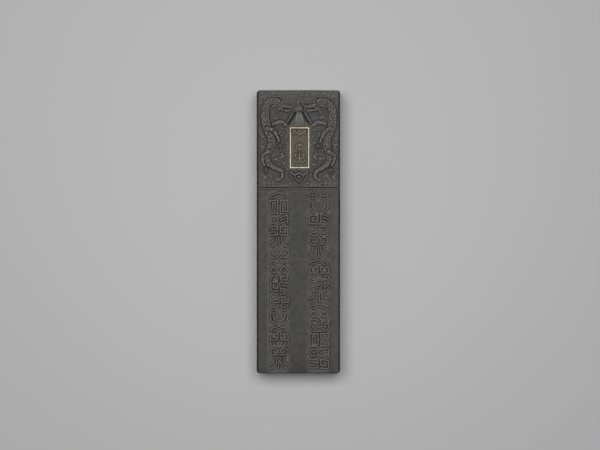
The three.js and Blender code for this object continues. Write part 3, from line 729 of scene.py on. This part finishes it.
def colour_tones(relief, h, d, outline, wear, line_y, size):
    """The fields that the ink's material reads: soot with painted shade, rubbing with painted highlight,
    handling, spilt gold and bloom.
    """
    gx, gy = np.meshgrid(relief.x, relief.y)
    pitch, tones = relief.pitch, relief.tones
    around = blurred(h, 0.45 / pitch)
    side = relief.x[-1] - np.abs(gx)
    below = gy < line_y - size.groove_spacing / MM - 1
    # soot and painted shade: the ink darkens wherever it lies below its blurred surroundings, in the cuts and
    # hollows where shade would fall
    cuts = np.where(below, COLUMN_SOOT_AND_SHADE * (blurred(h, 0.2 / pitch) - h), around - h)
    soot_and_shade = np.maximum(cuts, 0) * np.clip((d - 0.15) / 0.8, 0, 1)
    # painted shade: a fixed dark on the outermost cells of the two long sides, which spreads onto their
    # rounded edges; the bare cut round each emblem is darkened as well
    tones["hollow"] = np.where(side < 0.1, 0.12, soot_and_shade) + 0.16 * outline
    # crests that stand proud of their surroundings are paled: rubbing and a painted highlight
    tones["proud"] = np.maximum(h - around, 0) * np.where(below, COLUMN_RUB_AND_HIGHLIGHT, 1)

    # hands have worn the head, the columns, the long edges, the foot of the dragon field and every high form
    head = HEAD_WORN[0] * np.clip(1 - (relief.y[-1] - gy) / HEAD_WORN[1], 0, 1)
    band = np.abs(np.abs(gx) - size.column_spacing / MM / 2)
    columns = BAND_WORN[0] * np.clip((BAND_WORN[1] - band) / BAND_WORN[2], 0, 1) * below
    edges = np.clip(1 - side / EDGE_WORN[2], 0, 1) * np.where(gx > 0, *EDGE_WORN[:2])
    foot = FOOT_WORN[0] * np.exp(-((gy - line_y - FOOT_WORN[1]) / FOOT_WORN[1]) ** 2)
    tops = np.where(below, *TOPS_WORN) * np.clip((h - 0.22) / 0.3, 0, 1)
    handled = (head + columns + edges + foot + tops) * (0.85 + 0.4 * wear)
    tones["handled"] = np.clip(handled, 0, 1) * (d > 0)

    # gold and glue have run out round the cartouche, most of all above it
    middle, half = cartouche()
    upward = np.clip((gy - middle[1] + half[1]) / (2 * half[1]), 0, 1)
    spill = np.clip(1 - np.abs(d) / SPILL_REACH, 0, 1) * np.clip(0.6 + 1.1 * wear, 0, 1)
    smear = np.exp(-((gx - middle[0]) / 5) ** 4 - ((gy - middle[1] - half[1] - 0.7) / 1.1) ** 2)
    inner = d > -size.frame_width / MM
    tones["gold_spill"] = np.clip((0.35 + 0.95 * upward) * spill + smear, 0, 1) * inner
    canopy = np.hypot((gx - 0.5) / 2.8, (gy - line_y - 34.4) / 3.0)
    tones["bloom"] = np.clip(3 * (1 - canopy), 0, 1)


def carve_front(size):
    """The whole front: forms, wear, the cartouche, the two lines, and the tones of its ink."""
    low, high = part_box("ink_cake")
    inset = size.edge_rounding / MM
    pitch = size.mesh_pitch / MM * 1
    corners = [[low[k] / MM + inset for k in (0, 1)], [high[k] / MM - inset for k in (0, 1)]]
    relief = Relief(*corners, pitch)
    line_y = high[1] / MM - size.upper_field / MM
    draw_forms(relief, line_y, size)

    # wear: the high parts are rubbed down more in some places than in others
    gx, gy = np.meshgrid(relief.x, relief.y)
    wear = grid_noise(gx, gy, 7.0, 3) + 0.5 * grid_noise(gx, gy, 2.5, 4)
    crumbs = np.maximum(grid_noise(gx, gy, 0.9, 6) + 0.4 * grid_noise(gx, gy, 0.45, 7) - 0.12, 0)
    h = relief.h * np.clip(0.95 + 0.28 * wear, 0.45, 1.15) * (1 - CRUMBLE * crumbs)
    h = blurred(h, 0.1 / pitch) if pitch < 0.15 else h
    rim = np.minimum(relief.x[-1] - np.abs(gx), relief.y[-1] - np.abs(gy))
    h = h * np.clip(0.3 + rim / 0.8, 0, 1)
    pillow = size.pillow / MM * np.clip(1 - rim / PILLOW_REACH, 0, 1) ** 2

    # the frame and the panel of the cartouche, and plain ground beside it
    d = frame_distance(gx, gy)
    width = size.frame_width / MM
    h = h * np.clip((d - 0.15) / 0.4, 0, 1)
    across = np.clip(np.abs(d + width / 2) / (width / 2), 0, 1)
    bar = size.frame_height / MM * np.sqrt(1 - across ** 4)
    h = np.where(d > 0, h - 0.06 * np.exp(-(d / 0.25) ** 2), np.where(d > -width, bar, 0))
    inside = np.clip((-width - d) / 0.12, 0, 1)
    h = np.where(d < -width, -size.panel_depth / MM * inside, h)
    nearest = np.min([stroke_distance(lines, EMBLEM_HALF)(gx, gy) for lines in EMBLEMS.values()], axis=0)
    outline = np.exp(-((nearest - OUTLINE_HALF) / OUTLINE_HALF) ** 2) * (d < -width)
    h -= 0.1 * outline

    # the two lines, the lower one fainter
    for y, share in ((line_y, 1.0), (line_y - size.groove_spacing / MM, 0.6)):
        depth = share * size.groove_depth / MM * (1 + 0.25 * grid_noise(gx, gy, 3.0, 5))
        h -= depth * np.exp(-((gy - y) / (size.groove_width / MM)) ** 2)
    relief.h = h - pillow
    colour_tones(relief, h, d, outline, wear, line_y, size)
    return relief


# ---- Meshes ----

EDGE_STEPS = 8              # rings round each rounded edge
SIDE_STEPS = 12             # and between the two
FILM_ROOT = 0.04            # how deep a film of paint sits in the ink, in millimetres
FILM_SHOULDER = 0.12        # how far in from its edge a film reaches its full thickness


def new_object(name, vertices, faces, material):
    """A piece of the object, or the floor, as a new smooth-shaded mesh object in the scene."""
    mesh = bpy.data.meshes.new(name)
    mesh.vertices.add(len(vertices))
    mesh.vertices.foreach_set("co", np.asarray(vertices, np.float32).ravel())
    faces = np.asarray(faces, np.int32)
    mesh.loops.add(faces.size)
    mesh.loops.foreach_set("vertex_index", faces.ravel())
    mesh.polygons.add(len(faces))
    mesh.polygons.foreach_set("loop_start", np.arange(0, faces.size, faces.shape[1], dtype=np.int32))
    mesh.update(calc_edges=True)
    mesh.validate()
    mesh.polygons.foreach_set("use_smooth", np.ones(len(faces), bool))
    mesh.materials.append(material)
    obj = bpy.data.objects.new(name, mesh)
    bpy.context.scene.collection.objects.link(obj)
    return obj


def grid_faces(rows, columns, first=0, flip=False):
    """Quads between the points of a grid that is stored row by row."""
    j, i = np.mgrid[0:rows - 1, 0:columns - 1]
    a = (first + j * columns + i).ravel()
    quads = np.column_stack([a, a + 1, a + columns + 1, a + columns])
    return quads[:, ::-1] if flip else quads


def border(rows, columns):
    """The points round the edge of a grid, in order, anticlockwise from above."""
    bottom = np.arange(columns)
    right = np.arange(1, rows) * columns + columns - 1
    top = (rows - 1) * columns + np.arange(columns - 2, -1, -1)
    left = np.arange(rows - 2, 0, -1) * columns
    return np.concatenate([bottom, right, top, left])


def round_corners(x, y, half_x, half_y, radius):
    """Moves the points of a rectangular grid so that its four corners become quarter circles."""
    u = np.clip((np.abs(x) - (half_x - radius)) / radius, 0, 1)
    v = np.clip((np.abs(y) - (half_y - radius)) / radius, 0, 1)
    pull_x = radius * (u * np.sqrt(1 - v * v / 2) - u)
    pull_y = radius * (v * np.sqrt(1 - u * u / 2) - v)
    return x + np.sign(x) * pull_x, y + np.sign(y) * pull_y


def cake_shell(relief, size):
    """The closed skin of the cake: front grid, rounded edge, side, rounded edge, back grid."""
    low, high = (np.array(c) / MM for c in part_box("ink_cake"))
    ground = ground_level(size)
    edge = size.edge_rounding / MM
    radius = size.corner_radius / MM - edge
    half = (high[:2] - low[:2]) / 2 - edge
    gx, gy = np.meshgrid(relief.x, relief.y)
    rows, columns = gx.shape
    x, y = round_corners(gx.ravel(), gy.ravel(), half[0], half[1], radius)
    front = np.column_stack([x, y, ground + relief.at(x, y)])
    back = np.column_stack([x, y, np.zeros(len(x))])

    # the way out from the edge of the front, at each point of its rim
    rim = border(rows, columns)
    bx, by = x[rim], y[rim]
    out = np.column_stack([bx - np.clip(bx, radius - half[0], half[0] - radius),
                           by - np.clip(by, radius - half[1], half[1] - radius)])
    out /= np.hypot(out[:, 0], out[:, 1])[:, None]
    above = front[rim, 2] - ground
    turns = np.arange(1, EDGE_STEPS + 1) / EDGE_STEPS * pi / 2
    levels = [(edge * sin(a), ground - edge * (1 - cos(a)) + (1 - sin(a)) * above) for a in turns]
    drop = (ground - 2 * edge) / SIDE_STEPS
    levels += [(edge, np.full(len(rim), ground - edge - drop * k)) for k in range(1, SIDE_STEPS)]
    levels += [(edge * sin(a), np.full(len(rim), edge * (1 - cos(a)))) for a in turns[::-1]]
    rings = [np.column_stack([bx + out[:, 0] * far, by + out[:, 1] * far, z]) for far, z in levels]

    n = len(rim)
    back_first = len(front) + n * len(rings)
    loops = [rim, *(len(front) + n * k + np.arange(n) for k in range(len(rings))), back_first + rim]
    walls = [np.column_stack([upper, lower, np.roll(lower, -1), np.roll(upper, -1)])
             for upper, lower in zip(loops, loops[1:])]
    faces = [grid_faces(rows, columns), *walls, grid_faces(rows, columns, back_first, flip=True)]
    return np.vstack([front, *rings, back]), np.vstack(faces)


def hand_wear(points, size):
    """Small unevenness of the whole cake: a slight warp, dents, and chips along its edges."""
    low, high = (np.array(c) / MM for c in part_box("ink_cake"))
    middle = (low + high) / 2
    middle[2] = ground_level(size) / 2
    half = (high - low) / 2
    half[2] = middle[2]
    away = half - np.abs(points - middle)             # distance in from each pair of faces
    away.sort(axis=1)
    near_edge = np.exp(-((away[:, 0] + away[:, 1]) / 1.6) ** 2)
    inward = points - np.clip(points, low + 2.5, high - 2.5)
    inward[:, 2] = points[:, 2] - np.clip(points[:, 2], 2.5, ground_level(size) - 2.5)
    norm = np.maximum(np.linalg.norm(inward, axis=1), 1e-6)[:, None]
    broad = 0.05 * lattice_noise(points, 9.0, 11) + 0.022 * lattice_noise(points, 3.0, 12)
    chips = np.maximum(lattice_noise(points, 1.9, 13) + 0.5 * lattice_noise(points, 0.8, 14) - 0.55, 0)
    nicks = np.maximum(lattice_noise(points, 6.5, 15) - 0.45, 0)
    depth = broad + near_edge * (0.3 * chips + 0.55 * nicks + 0.03 * lattice_noise(points, 0.6, 16) + 0.04)
    worn = points - inward / norm * np.minimum(depth, 0.9)[:, None] * (norm > 1e-5)
    worn[:, 2] = np.maximum(worn[:, 2], 0)      # nothing reaches below the face that the stick lies on
    return worn


def paint_film(name, relief, size, distance, lift, material, pitch=0.1):
    """A thin closed film of paint that lies on the carved front wherever distance is below zero."""
    middle, half = cartouche()
    x = np.arange(middle[0] - half[0] - 0.5, middle[0] + half[0] + 0.5, pitch)
    y = np.arange(middle[1] - half[1] - 0.5, middle[1] + half[1] + 0.5, pitch)
    gx, gy = np.meshgrid(x, y)
    d = distance(gx, gy)
    cell = (d[:-1, :-1] < 0) & (d[1:, :-1] < 0) & (d[:-1, 1:] < 0) & (d[1:, 1:] < 0)
    # a lone cell that touches another only at a corner would leave the film open there
    for _ in range(3):
        cross = cell[:-1, :-1] & cell[1:, 1:] & ~cell[:-1, 1:] & ~cell[1:, :-1]
        other = cell[:-1, 1:] & cell[1:, :-1] & ~cell[:-1, :-1] & ~cell[1:, 1:]
        cell[:-1, :-1] &= ~cross
        cell[:-1, 1:] &= ~other
    # the outline is drawn in to where the distance really is zero
    dy, dx = np.gradient(d, pitch)
    steep = np.maximum(np.hypot(dx, dy), 0.5)
    used = np.zeros(gx.shape, bool)
    full = np.ones(gx.shape, bool)
    for a, b in ((0, 0), (0, 1), (1, 0), (1, 1)):
        used[a:a + cell.shape[0], b:b + cell.shape[1]] |= cell
        whole = np.zeros(gx.shape, bool)
        whole[a:a + cell.shape[0], b:b + cell.shape[1]] = cell
        full &= whole
    rim = used & ~full
    push = np.where(rim, np.clip(-d, 0, 0.7 * pitch), 0)
    px, py = gx + dx / steep * push, gy + dy / steep * push
    index = -np.ones(gx.shape, int)
    index[used] = np.arange(used.sum())
    base = ground_level(size) + relief.at(px[used], py[used])
    swell = np.clip(-d[used] / FILM_SHOULDER, 0, 1)
    top = base + lift * (0.35 + 0.65 * swell)
    bottom = base - FILM_ROOT
    count = int(used.sum())
    skins = np.vstack([np.column_stack([px[used], py[used], z]) for z in (top, bottom)])
    j, i = np.nonzero(cell)
    quads = np.column_stack([index[j, i], index[j, i + 1], index[j + 1, i + 1], index[j + 1, i]])
    faces = [quads, quads[:, ::-1] + count]
    # walls: every edge that only one quad has
    edges = np.vstack([quads[:, [k, (k + 1) % 4]] for k in range(4)])
    keys = edges[:, 0] * count + edges[:, 1]
    back = edges[:, 1] * count + edges[:, 0]
    lone = edges[~np.isin(keys, back)]
    faces.append(np.column_stack([lone[:, 1], lone[:, 0], lone[:, 0] + count, lone[:, 1] + count]))
    return new_object(name, skins * MM, np.vstack(faces), material)


# ---- Materials ----

SOOT_AND_SHADE_FROM_TO = (0.02, 0.14)     # hollow, in millimetres: where soot and painted shade begin, and where they cover
SHINE_FROM_TO = (0.01, 0.11)    # proud, in millimetres: where rubbing and the painted highlight begin, and where they are full
CLOUDED = 1.1                   # how much paler the paler clouds of the ink are


def node(tree, kind, inputs, out=0, **settings):
    """Adds a shader node with its settings, gives each input a value or a link, and returns its output."""
    made = tree.nodes.new(kind)
    for name, value in settings.items():
        setattr(made, name, value)
    for key, value in inputs.items():
        socket = made.inputs[key]
        if isinstance(value, bpy.types.NodeSocket):
            tree.links.new(value, socket)
        else:
            socket.default_value = (*value, 1) if socket.type == "RGBA" else value
    return made.outputs[out]


def attribute(tree, name):
    """One of the relief's tones, as stored on the mesh."""
    return node(tree, "ShaderNodeAttribute", {}, "Fac", attribute_name=name)


def noise(tree, place, lump, detail, out="Fac"):
    """Noise with lumps about this many millimetres across."""
    sockets = {"Vector": place, "Scale": 1 / (lump * MM), "Detail": detail}
    return node(tree, "ShaderNodeTexNoise", sockets, out)


def remap(tree, value, low, high, to_low=0.0, to_high=1.0):
    ends = {"From Min": low, "From Max": high, "To Min": to_low, "To Max": to_high}
    return node(tree, "ShaderNodeMapRange", {"Value": value, **ends})


def mixed(tree, share, first, second, blend="MIX"):
    return node(tree, "ShaderNodeMix", {0: share, 6: first, 7: second}, 2, data_type="RGBA", blend_type=blend)


def bumps(tree, height, strength, millimetres, **under):
    sockets = {"Height": height, "Strength": strength, "Distance": millimetres * MM, **under}
    return node(tree, "ShaderNodeBump", sockets)


def new_material(name):
    """A material, its tree, its shader, and object coordinates in metres."""
    material = bpy.data.materials.new(name)
    material.use_nodes = True
    tree = material.node_tree
    return material, tree, tree.nodes["Principled BSDF"], node(tree, "ShaderNodeTexCoord", {}, "Object")


def pressed_ink(colours):
    """Soot and hide glue, pressed in a carved mould and dried: near black, satin where it is handled."""
    material, tree, shader, place = new_material("pressed_soot_ink")

    # the mass of the ink: broad clouding a few centimetres across, cool in places and brown in others
    cool = remap(tree, noise(tree, place, 16, 2.0), 0.4, 0.62)
    ink = mixed(tree, cool, colours.ink, tuple(CLOUDED * c for c in colours.ink[:]))
    hue = mixed(tree, 0.1, (1.0, 1.0, 1.0), noise(tree, place, 9, 1.0, "Color"))
    ink = mixed(tree, 1.0, ink, hue, "MULTIPLY")

    # worn paler by hands; spilt gold and glue round the cartouche; a pale bloom on the canopy
    for tone, over in (("handled", colours.handled), ("gold_spill", colours.stain), ("bloom", colours.bloom)):
        ink = mixed(tree, attribute(tree, tone), ink, over)

    # loose soot and painted shade darken the cuts, and rubbing with a painted highlight pales what stands
    # proud
    low = remap(tree, attribute(tree, "hollow"), *SOOT_AND_SHADE_FROM_TO)
    ink = mixed(tree, low, ink, colours.dust_and_shade)
    # the paler burnish colour on proud crests is partly a painted highlight
    high = remap(tree, attribute(tree, "proud"), *SHINE_FROM_TO)
    ink = mixed(tree, high, ink, colours.burnish_and_highlight)

    # a grain of lamp black and of old fingermarks
    speck = remap(tree, noise(tree, place, 0.6, 3.0), 0.3, 0.7, 0.8, 1.2)
    ink = mixed(tree, 1.0, ink, speck, "MULTIPLY")
    tree.links.new(ink, shader.inputs["Base Color"])

    matt = remap(tree, noise(tree, place, 2.4, 3.0), 0.3, 0.7, 0.5, 0.62)
    rubbed = node(tree, "ShaderNodeMath", {0: high, 1: -0.15, 2: matt}, operation="MULTIPLY_ADD")
    tree.links.new(rubbed, shader.inputs["Roughness"])
    shader.inputs["IOR"].default_value = 1.45
    dull = node(tree, "ShaderNodeMath", {0: low, 1: -0.18, 2: 0.5}, operation="MULTIPLY_ADD")
    tree.links.new(dull, shader.inputs["Specular IOR Level"])

    pores = bumps(tree, noise(tree, place, 0.22, 4.0), 0.35, 0.08)
    uneven = bumps(tree, noise(tree, place, 1.6, 3.0), 0.4, 0.2, Normal=pores)
    tree.links.new(uneven, shader.inputs["Normal"])
    return material


def gold_paint(name, base, thin, wear, metal, gloss=0.5):
    """Shell gold in glue, brushed on by hand: satin, thin at the edges, rubbed through in places."""
    material, tree, shader, place = new_material(name)
    worn = noise(tree, place, 0.8, 4.0)
    tone = mixed(tree, remap(tree, worn, wear - 0.12, wear + 0.12), thin, base)
    hairs = noise(tree, place, 0.3, 2.0)
    tone = mixed(tree, 1.0, tone, remap(tree, hairs, 0.3, 0.7, 0.85, 1.1), "MULTIPLY")
    tree.links.new(tone, shader.inputs["Base Color"])
    shader.inputs["Metallic"].default_value = metal
    shader.inputs["Specular IOR Level"].default_value = gloss
    tree.links.new(remap(tree, worn, 0.3, 0.7, 0.62, 0.42), shader.inputs["Roughness"])
    tree.links.new(bumps(tree, hairs, 0.3, 0.06), shader.inputs["Normal"])
    return material


def backdrop_paper(colours):
    """Seamless studio paper: matt, with painted shade that darkens it a little towards the far corners, as a
    lamp's fall-off would.
    """
    material, tree, shader, place = new_material("seamless_studio_paper")
    away = node(tree, "ShaderNodeVectorMath", {0: place}, "Value", operation="LENGTH")
    # painted shade: the paper's colour darkens with distance from the middle, as the light falls off
    tone = mixed(tree, 1.0, colours.floor, remap(tree, away, 60 * MM, 240 * MM, 1.0, 0.84), "MULTIPLY")
    tree.links.new(tone, shader.inputs["Base Color"])
    shader.inputs["Roughness"].default_value = 0.9
    shader.inputs["Specular IOR Level"].default_value = 0.2
    return material


# ---- Operators ----

def settings(context):
    return context.scene.ink_stick_sizes, context.scene.ink_stick_colours


CARVED = {}


def carved_front(size):
    """The carved front, worked out once and shared by the cake and its paint."""
    if "front" not in CARVED:
        CARVED["front"] = carve_front(size)
    return CARVED["front"]


def attach(piece, slot, *nodes):
    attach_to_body(piece, "root")
    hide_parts(*nodes)


class INKSTICK_OT_cake(Operator):
    """Press the cake: front relief, rounded edges, sides and back in one closed skin"""
    bl_idname = "ink_stick.cake"
    bl_label = "Press the cake"

    face_budget: IntProperty(name="Face budget", description="Triangles that the finished cake may have",
                             default=190000, min=1000)

    def execute(self, context):
        size, colours = settings(context)
        relief = carved_front(size)
        vertices, faces = cake_shell(relief, size)
        vertices = hand_wear(vertices, size)
        cake = new_object("pressed_cake", vertices * MM, faces, pressed_ink(colours))
        thin = cake.modifiers.new("fit_budget", "DECIMATE")
        thin.ratio = min(1.0, self.face_budget / (2 * len(faces)))
        context.view_layer.update()
        mesh = bpy.data.meshes.new_from_object(cake.evaluated_get(context.evaluated_depsgraph_get()))
        cake.modifiers.clear()
        cake.data = mesh
        mesh.name = "pressed_cake"
        mesh.polygons.foreach_set("use_smooth", np.ones(len(mesh.polygons), bool))
        places = np.empty(3 * len(mesh.vertices), np.float32)
        mesh.vertices.foreach_get("co", places)
        places = places.reshape(-1, 3) / MM
        front = places[:, 2] > ground_level(size) - 1.0
        for name, field in relief.tones.items():
            values = np.where(front, relief.at(places[:, 0], places[:, 1], field), 0)
            mesh.attributes.new(name, "FLOAT", "POINT").data.foreach_set("value", values.astype(np.float32))
        attach(cake, "pressed_ink", "ink_cake")
        return {"FINISHED"}


class INKSTICK_OT_fillet(Operator):
    """Brush gold on the cartouche's raised frame"""
    bl_idname = "ink_stick.fillet"
    bl_label = "Gild the frame"

    def execute(self, context):
        size, colours = settings(context)
        relief = carved_front(size)
        width = size.frame_width / MM

        def distance(gx, gy):
            d = frame_distance(gx, gy)
            ragged = 0.07 * grid_noise(gx, gy, 0.45, 22) + 0.05 * grid_noise(gx, gy, 1.3, 23)
            return np.maximum(d, -width - d) + 0.02 + ragged
        paint = gold_paint("shell_gold_paint", colours.gold, colours.worn_gold, 0.36, 0.35)
        film = paint_film("gilt_frame_paint", relief, size, distance, size.paint_thickness / MM, paint)
        attach(film, "gilding", "gilt_fillet")
        return {"FINISHED"}


class INKSTICK_OT_wash(Operator):
    """Rub the thin wash of gold over the cartouche's panel"""
    bl_idname = "ink_stick.wash"
    bl_label = "Wash the panel"

    def execute(self, context):
        size, colours = settings(context)
        relief = carved_front(size)
        width = size.frame_width / MM
        strokes = [stroke_distance(lines, EMBLEM_HALF) for lines in EMBLEMS.values()]

        def distance(gx, gy):
            ragged = 0.05 * grid_noise(gx, gy, 0.7, 24)
            nearest = np.min([stroke(gx, gy) for stroke in strokes], axis=0)
            bare = OUTLINE_HALF - np.abs(nearest - OUTLINE_HALF)
            return np.maximum(frame_distance(gx, gy) + width - 0.08, bare + ragged)
        paint = gold_paint("rubbed_gold_wash", colours.wash, colours.stain, 0.4, 0.0, 0.3)
        film = paint_film("panel_wash_film", relief, size, distance, 0.02, paint)
        attach(film, "worn_gold_wash", "panel_wash")
        return {"FINISHED"}


class INKSTICK_OT_emblems(Operator):
    """Paint the three emblems on the panel"""
    bl_idname = "ink_stick.emblems"
    bl_label = "Paint the emblems"

    def execute(self, context):
        size, colours = settings(context)
        relief = carved_front(size)
        red = gold_paint("gold_rubbed_to_red_size", colours.size_red, colours.stain, 0.4, 0.0, 0.3)
        olive = gold_paint("thin_gold_over_ink", colours.olive_gold, colours.stain, 0.42, 0.0, 0.3)
        for name, lines in EMBLEMS.items():
            paint = red if name == "upper" else olive
            distance = stroke_distance(lines, EMBLEM_HALF, 0.05)
            film = paint_film(f"painted_{name}_emblem", relief, size, distance, 0.08, paint, 0.08)
            attach(film, "worn_gilding", f"gilt_{name}_emblem")
        return {"FINISHED"}


# The stage, in metres and watts.
FLOOR_HALF = 1.5
ROOM_LIGHT = 0.07
VIEW_WIDTH = 0.3015          # what the picture takes in across, at the height of the gilding
AIM = (0.0008, 0.0034)       # the camera hangs straight over this place
# A wide softbox hangs level beyond the dragon end, and a narrow one straight over the table. Each has
# its place, width, depth and power.
SOFTBOXES = (("wide_softbox", (-0.12, 0.47, 1.5), 1.6, 0.82, 20.5),
             ("strip_softbox", (-0.1, -0.03, 1.5), 1.5, 0.12, 4.2))


class INKSTICK_OT_stage(Operator):
    """Lay the paper, and set the lamps and the camera"""
    bl_idname = "ink_stick.stage"
    bl_label = "Set the stage"

    def execute(self, context):
        colours = settings(context)[1]
        scene = context.scene
        scene.view_settings.view_transform = "Standard"
        half = FLOOR_HALF
        corners = [(-half, -half, 0), (half, -half, 0), (half, half, 0), (-half, half, 0)]
        floor = new_object("floor", corners, [(0, 1, 2, 3)], backdrop_paper(colours))

        world = bpy.data.worlds.new("studio")
        world.use_nodes = True
        world.node_tree.nodes["Background"].inputs[0].default_value = (1, 1, 1, 1)
        world.node_tree.nodes["Background"].inputs[1].default_value = ROOM_LIGHT
        scene.world = world
        for name, place, width, depth, power in SOFTBOXES:
            lamp = bpy.data.lights.new(name, "AREA")
            lamp.shape = "RECTANGLE"
            lamp.size = width
            lamp.size_y = depth
            lamp.energy = power
            softbox = bpy.data.objects.new(name, lamp)
            softbox.location = place
            scene.collection.objects.link(softbox)

        lens = bpy.data.cameras.new("copy_stand_camera")
        lens.lens = 150
        lens.clip_end = 10
        camera = bpy.data.objects.new("copy_stand_camera", lens)
        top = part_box("gilt_fillet")[1][2]
        camera.location = (*AIM, top + VIEW_WIDTH * lens.lens / lens.sensor_width)
        scene.collection.objects.link(camera)
        scene.camera = camera
        return {"FINISHED"}


class INKSTICK_PT_panel(Panel):
    """Sizes, colours and steps of the ink stick"""
    bl_idname = "INKSTICK_PT_panel"
    bl_label = "Ink Stick"
    bl_space_type = "VIEW_3D"
    bl_region_type = "UI"
    bl_category = "Ink Stick"

    def draw(self, context):
        for group in settings(context):
            box = self.layout.box()
            for name in group.__annotations__:
                box.prop(group, name)
        for step in STEPS:
            self.layout.operator(step.bl_idname)


STEPS = (INKSTICK_OT_cake, INKSTICK_OT_wash, INKSTICK_OT_fillet, INKSTICK_OT_emblems, INKSTICK_OT_stage)
CLASSES = (InkStickSizes, InkStickColours, *STEPS, INKSTICK_PT_panel)


def register():
    for cls in CLASSES:
        bpy.utils.register_class(cls)
    bpy.types.Scene.ink_stick_sizes = PointerProperty(type=InkStickSizes)
    bpy.types.Scene.ink_stick_colours = PointerProperty(type=InkStickColours)


def unregister():
    del bpy.types.Scene.ink_stick_colours
    del bpy.types.Scene.ink_stick_sizes
    for cls in reversed(CLASSES):
        bpy.utils.unregister_class(cls)


def main():
    register()
    for step in STEPS:
        group, name = step.bl_idname.split(".")
        getattr(getattr(bpy.ops, group), name)()


if __name__ == "__main__":
    main()
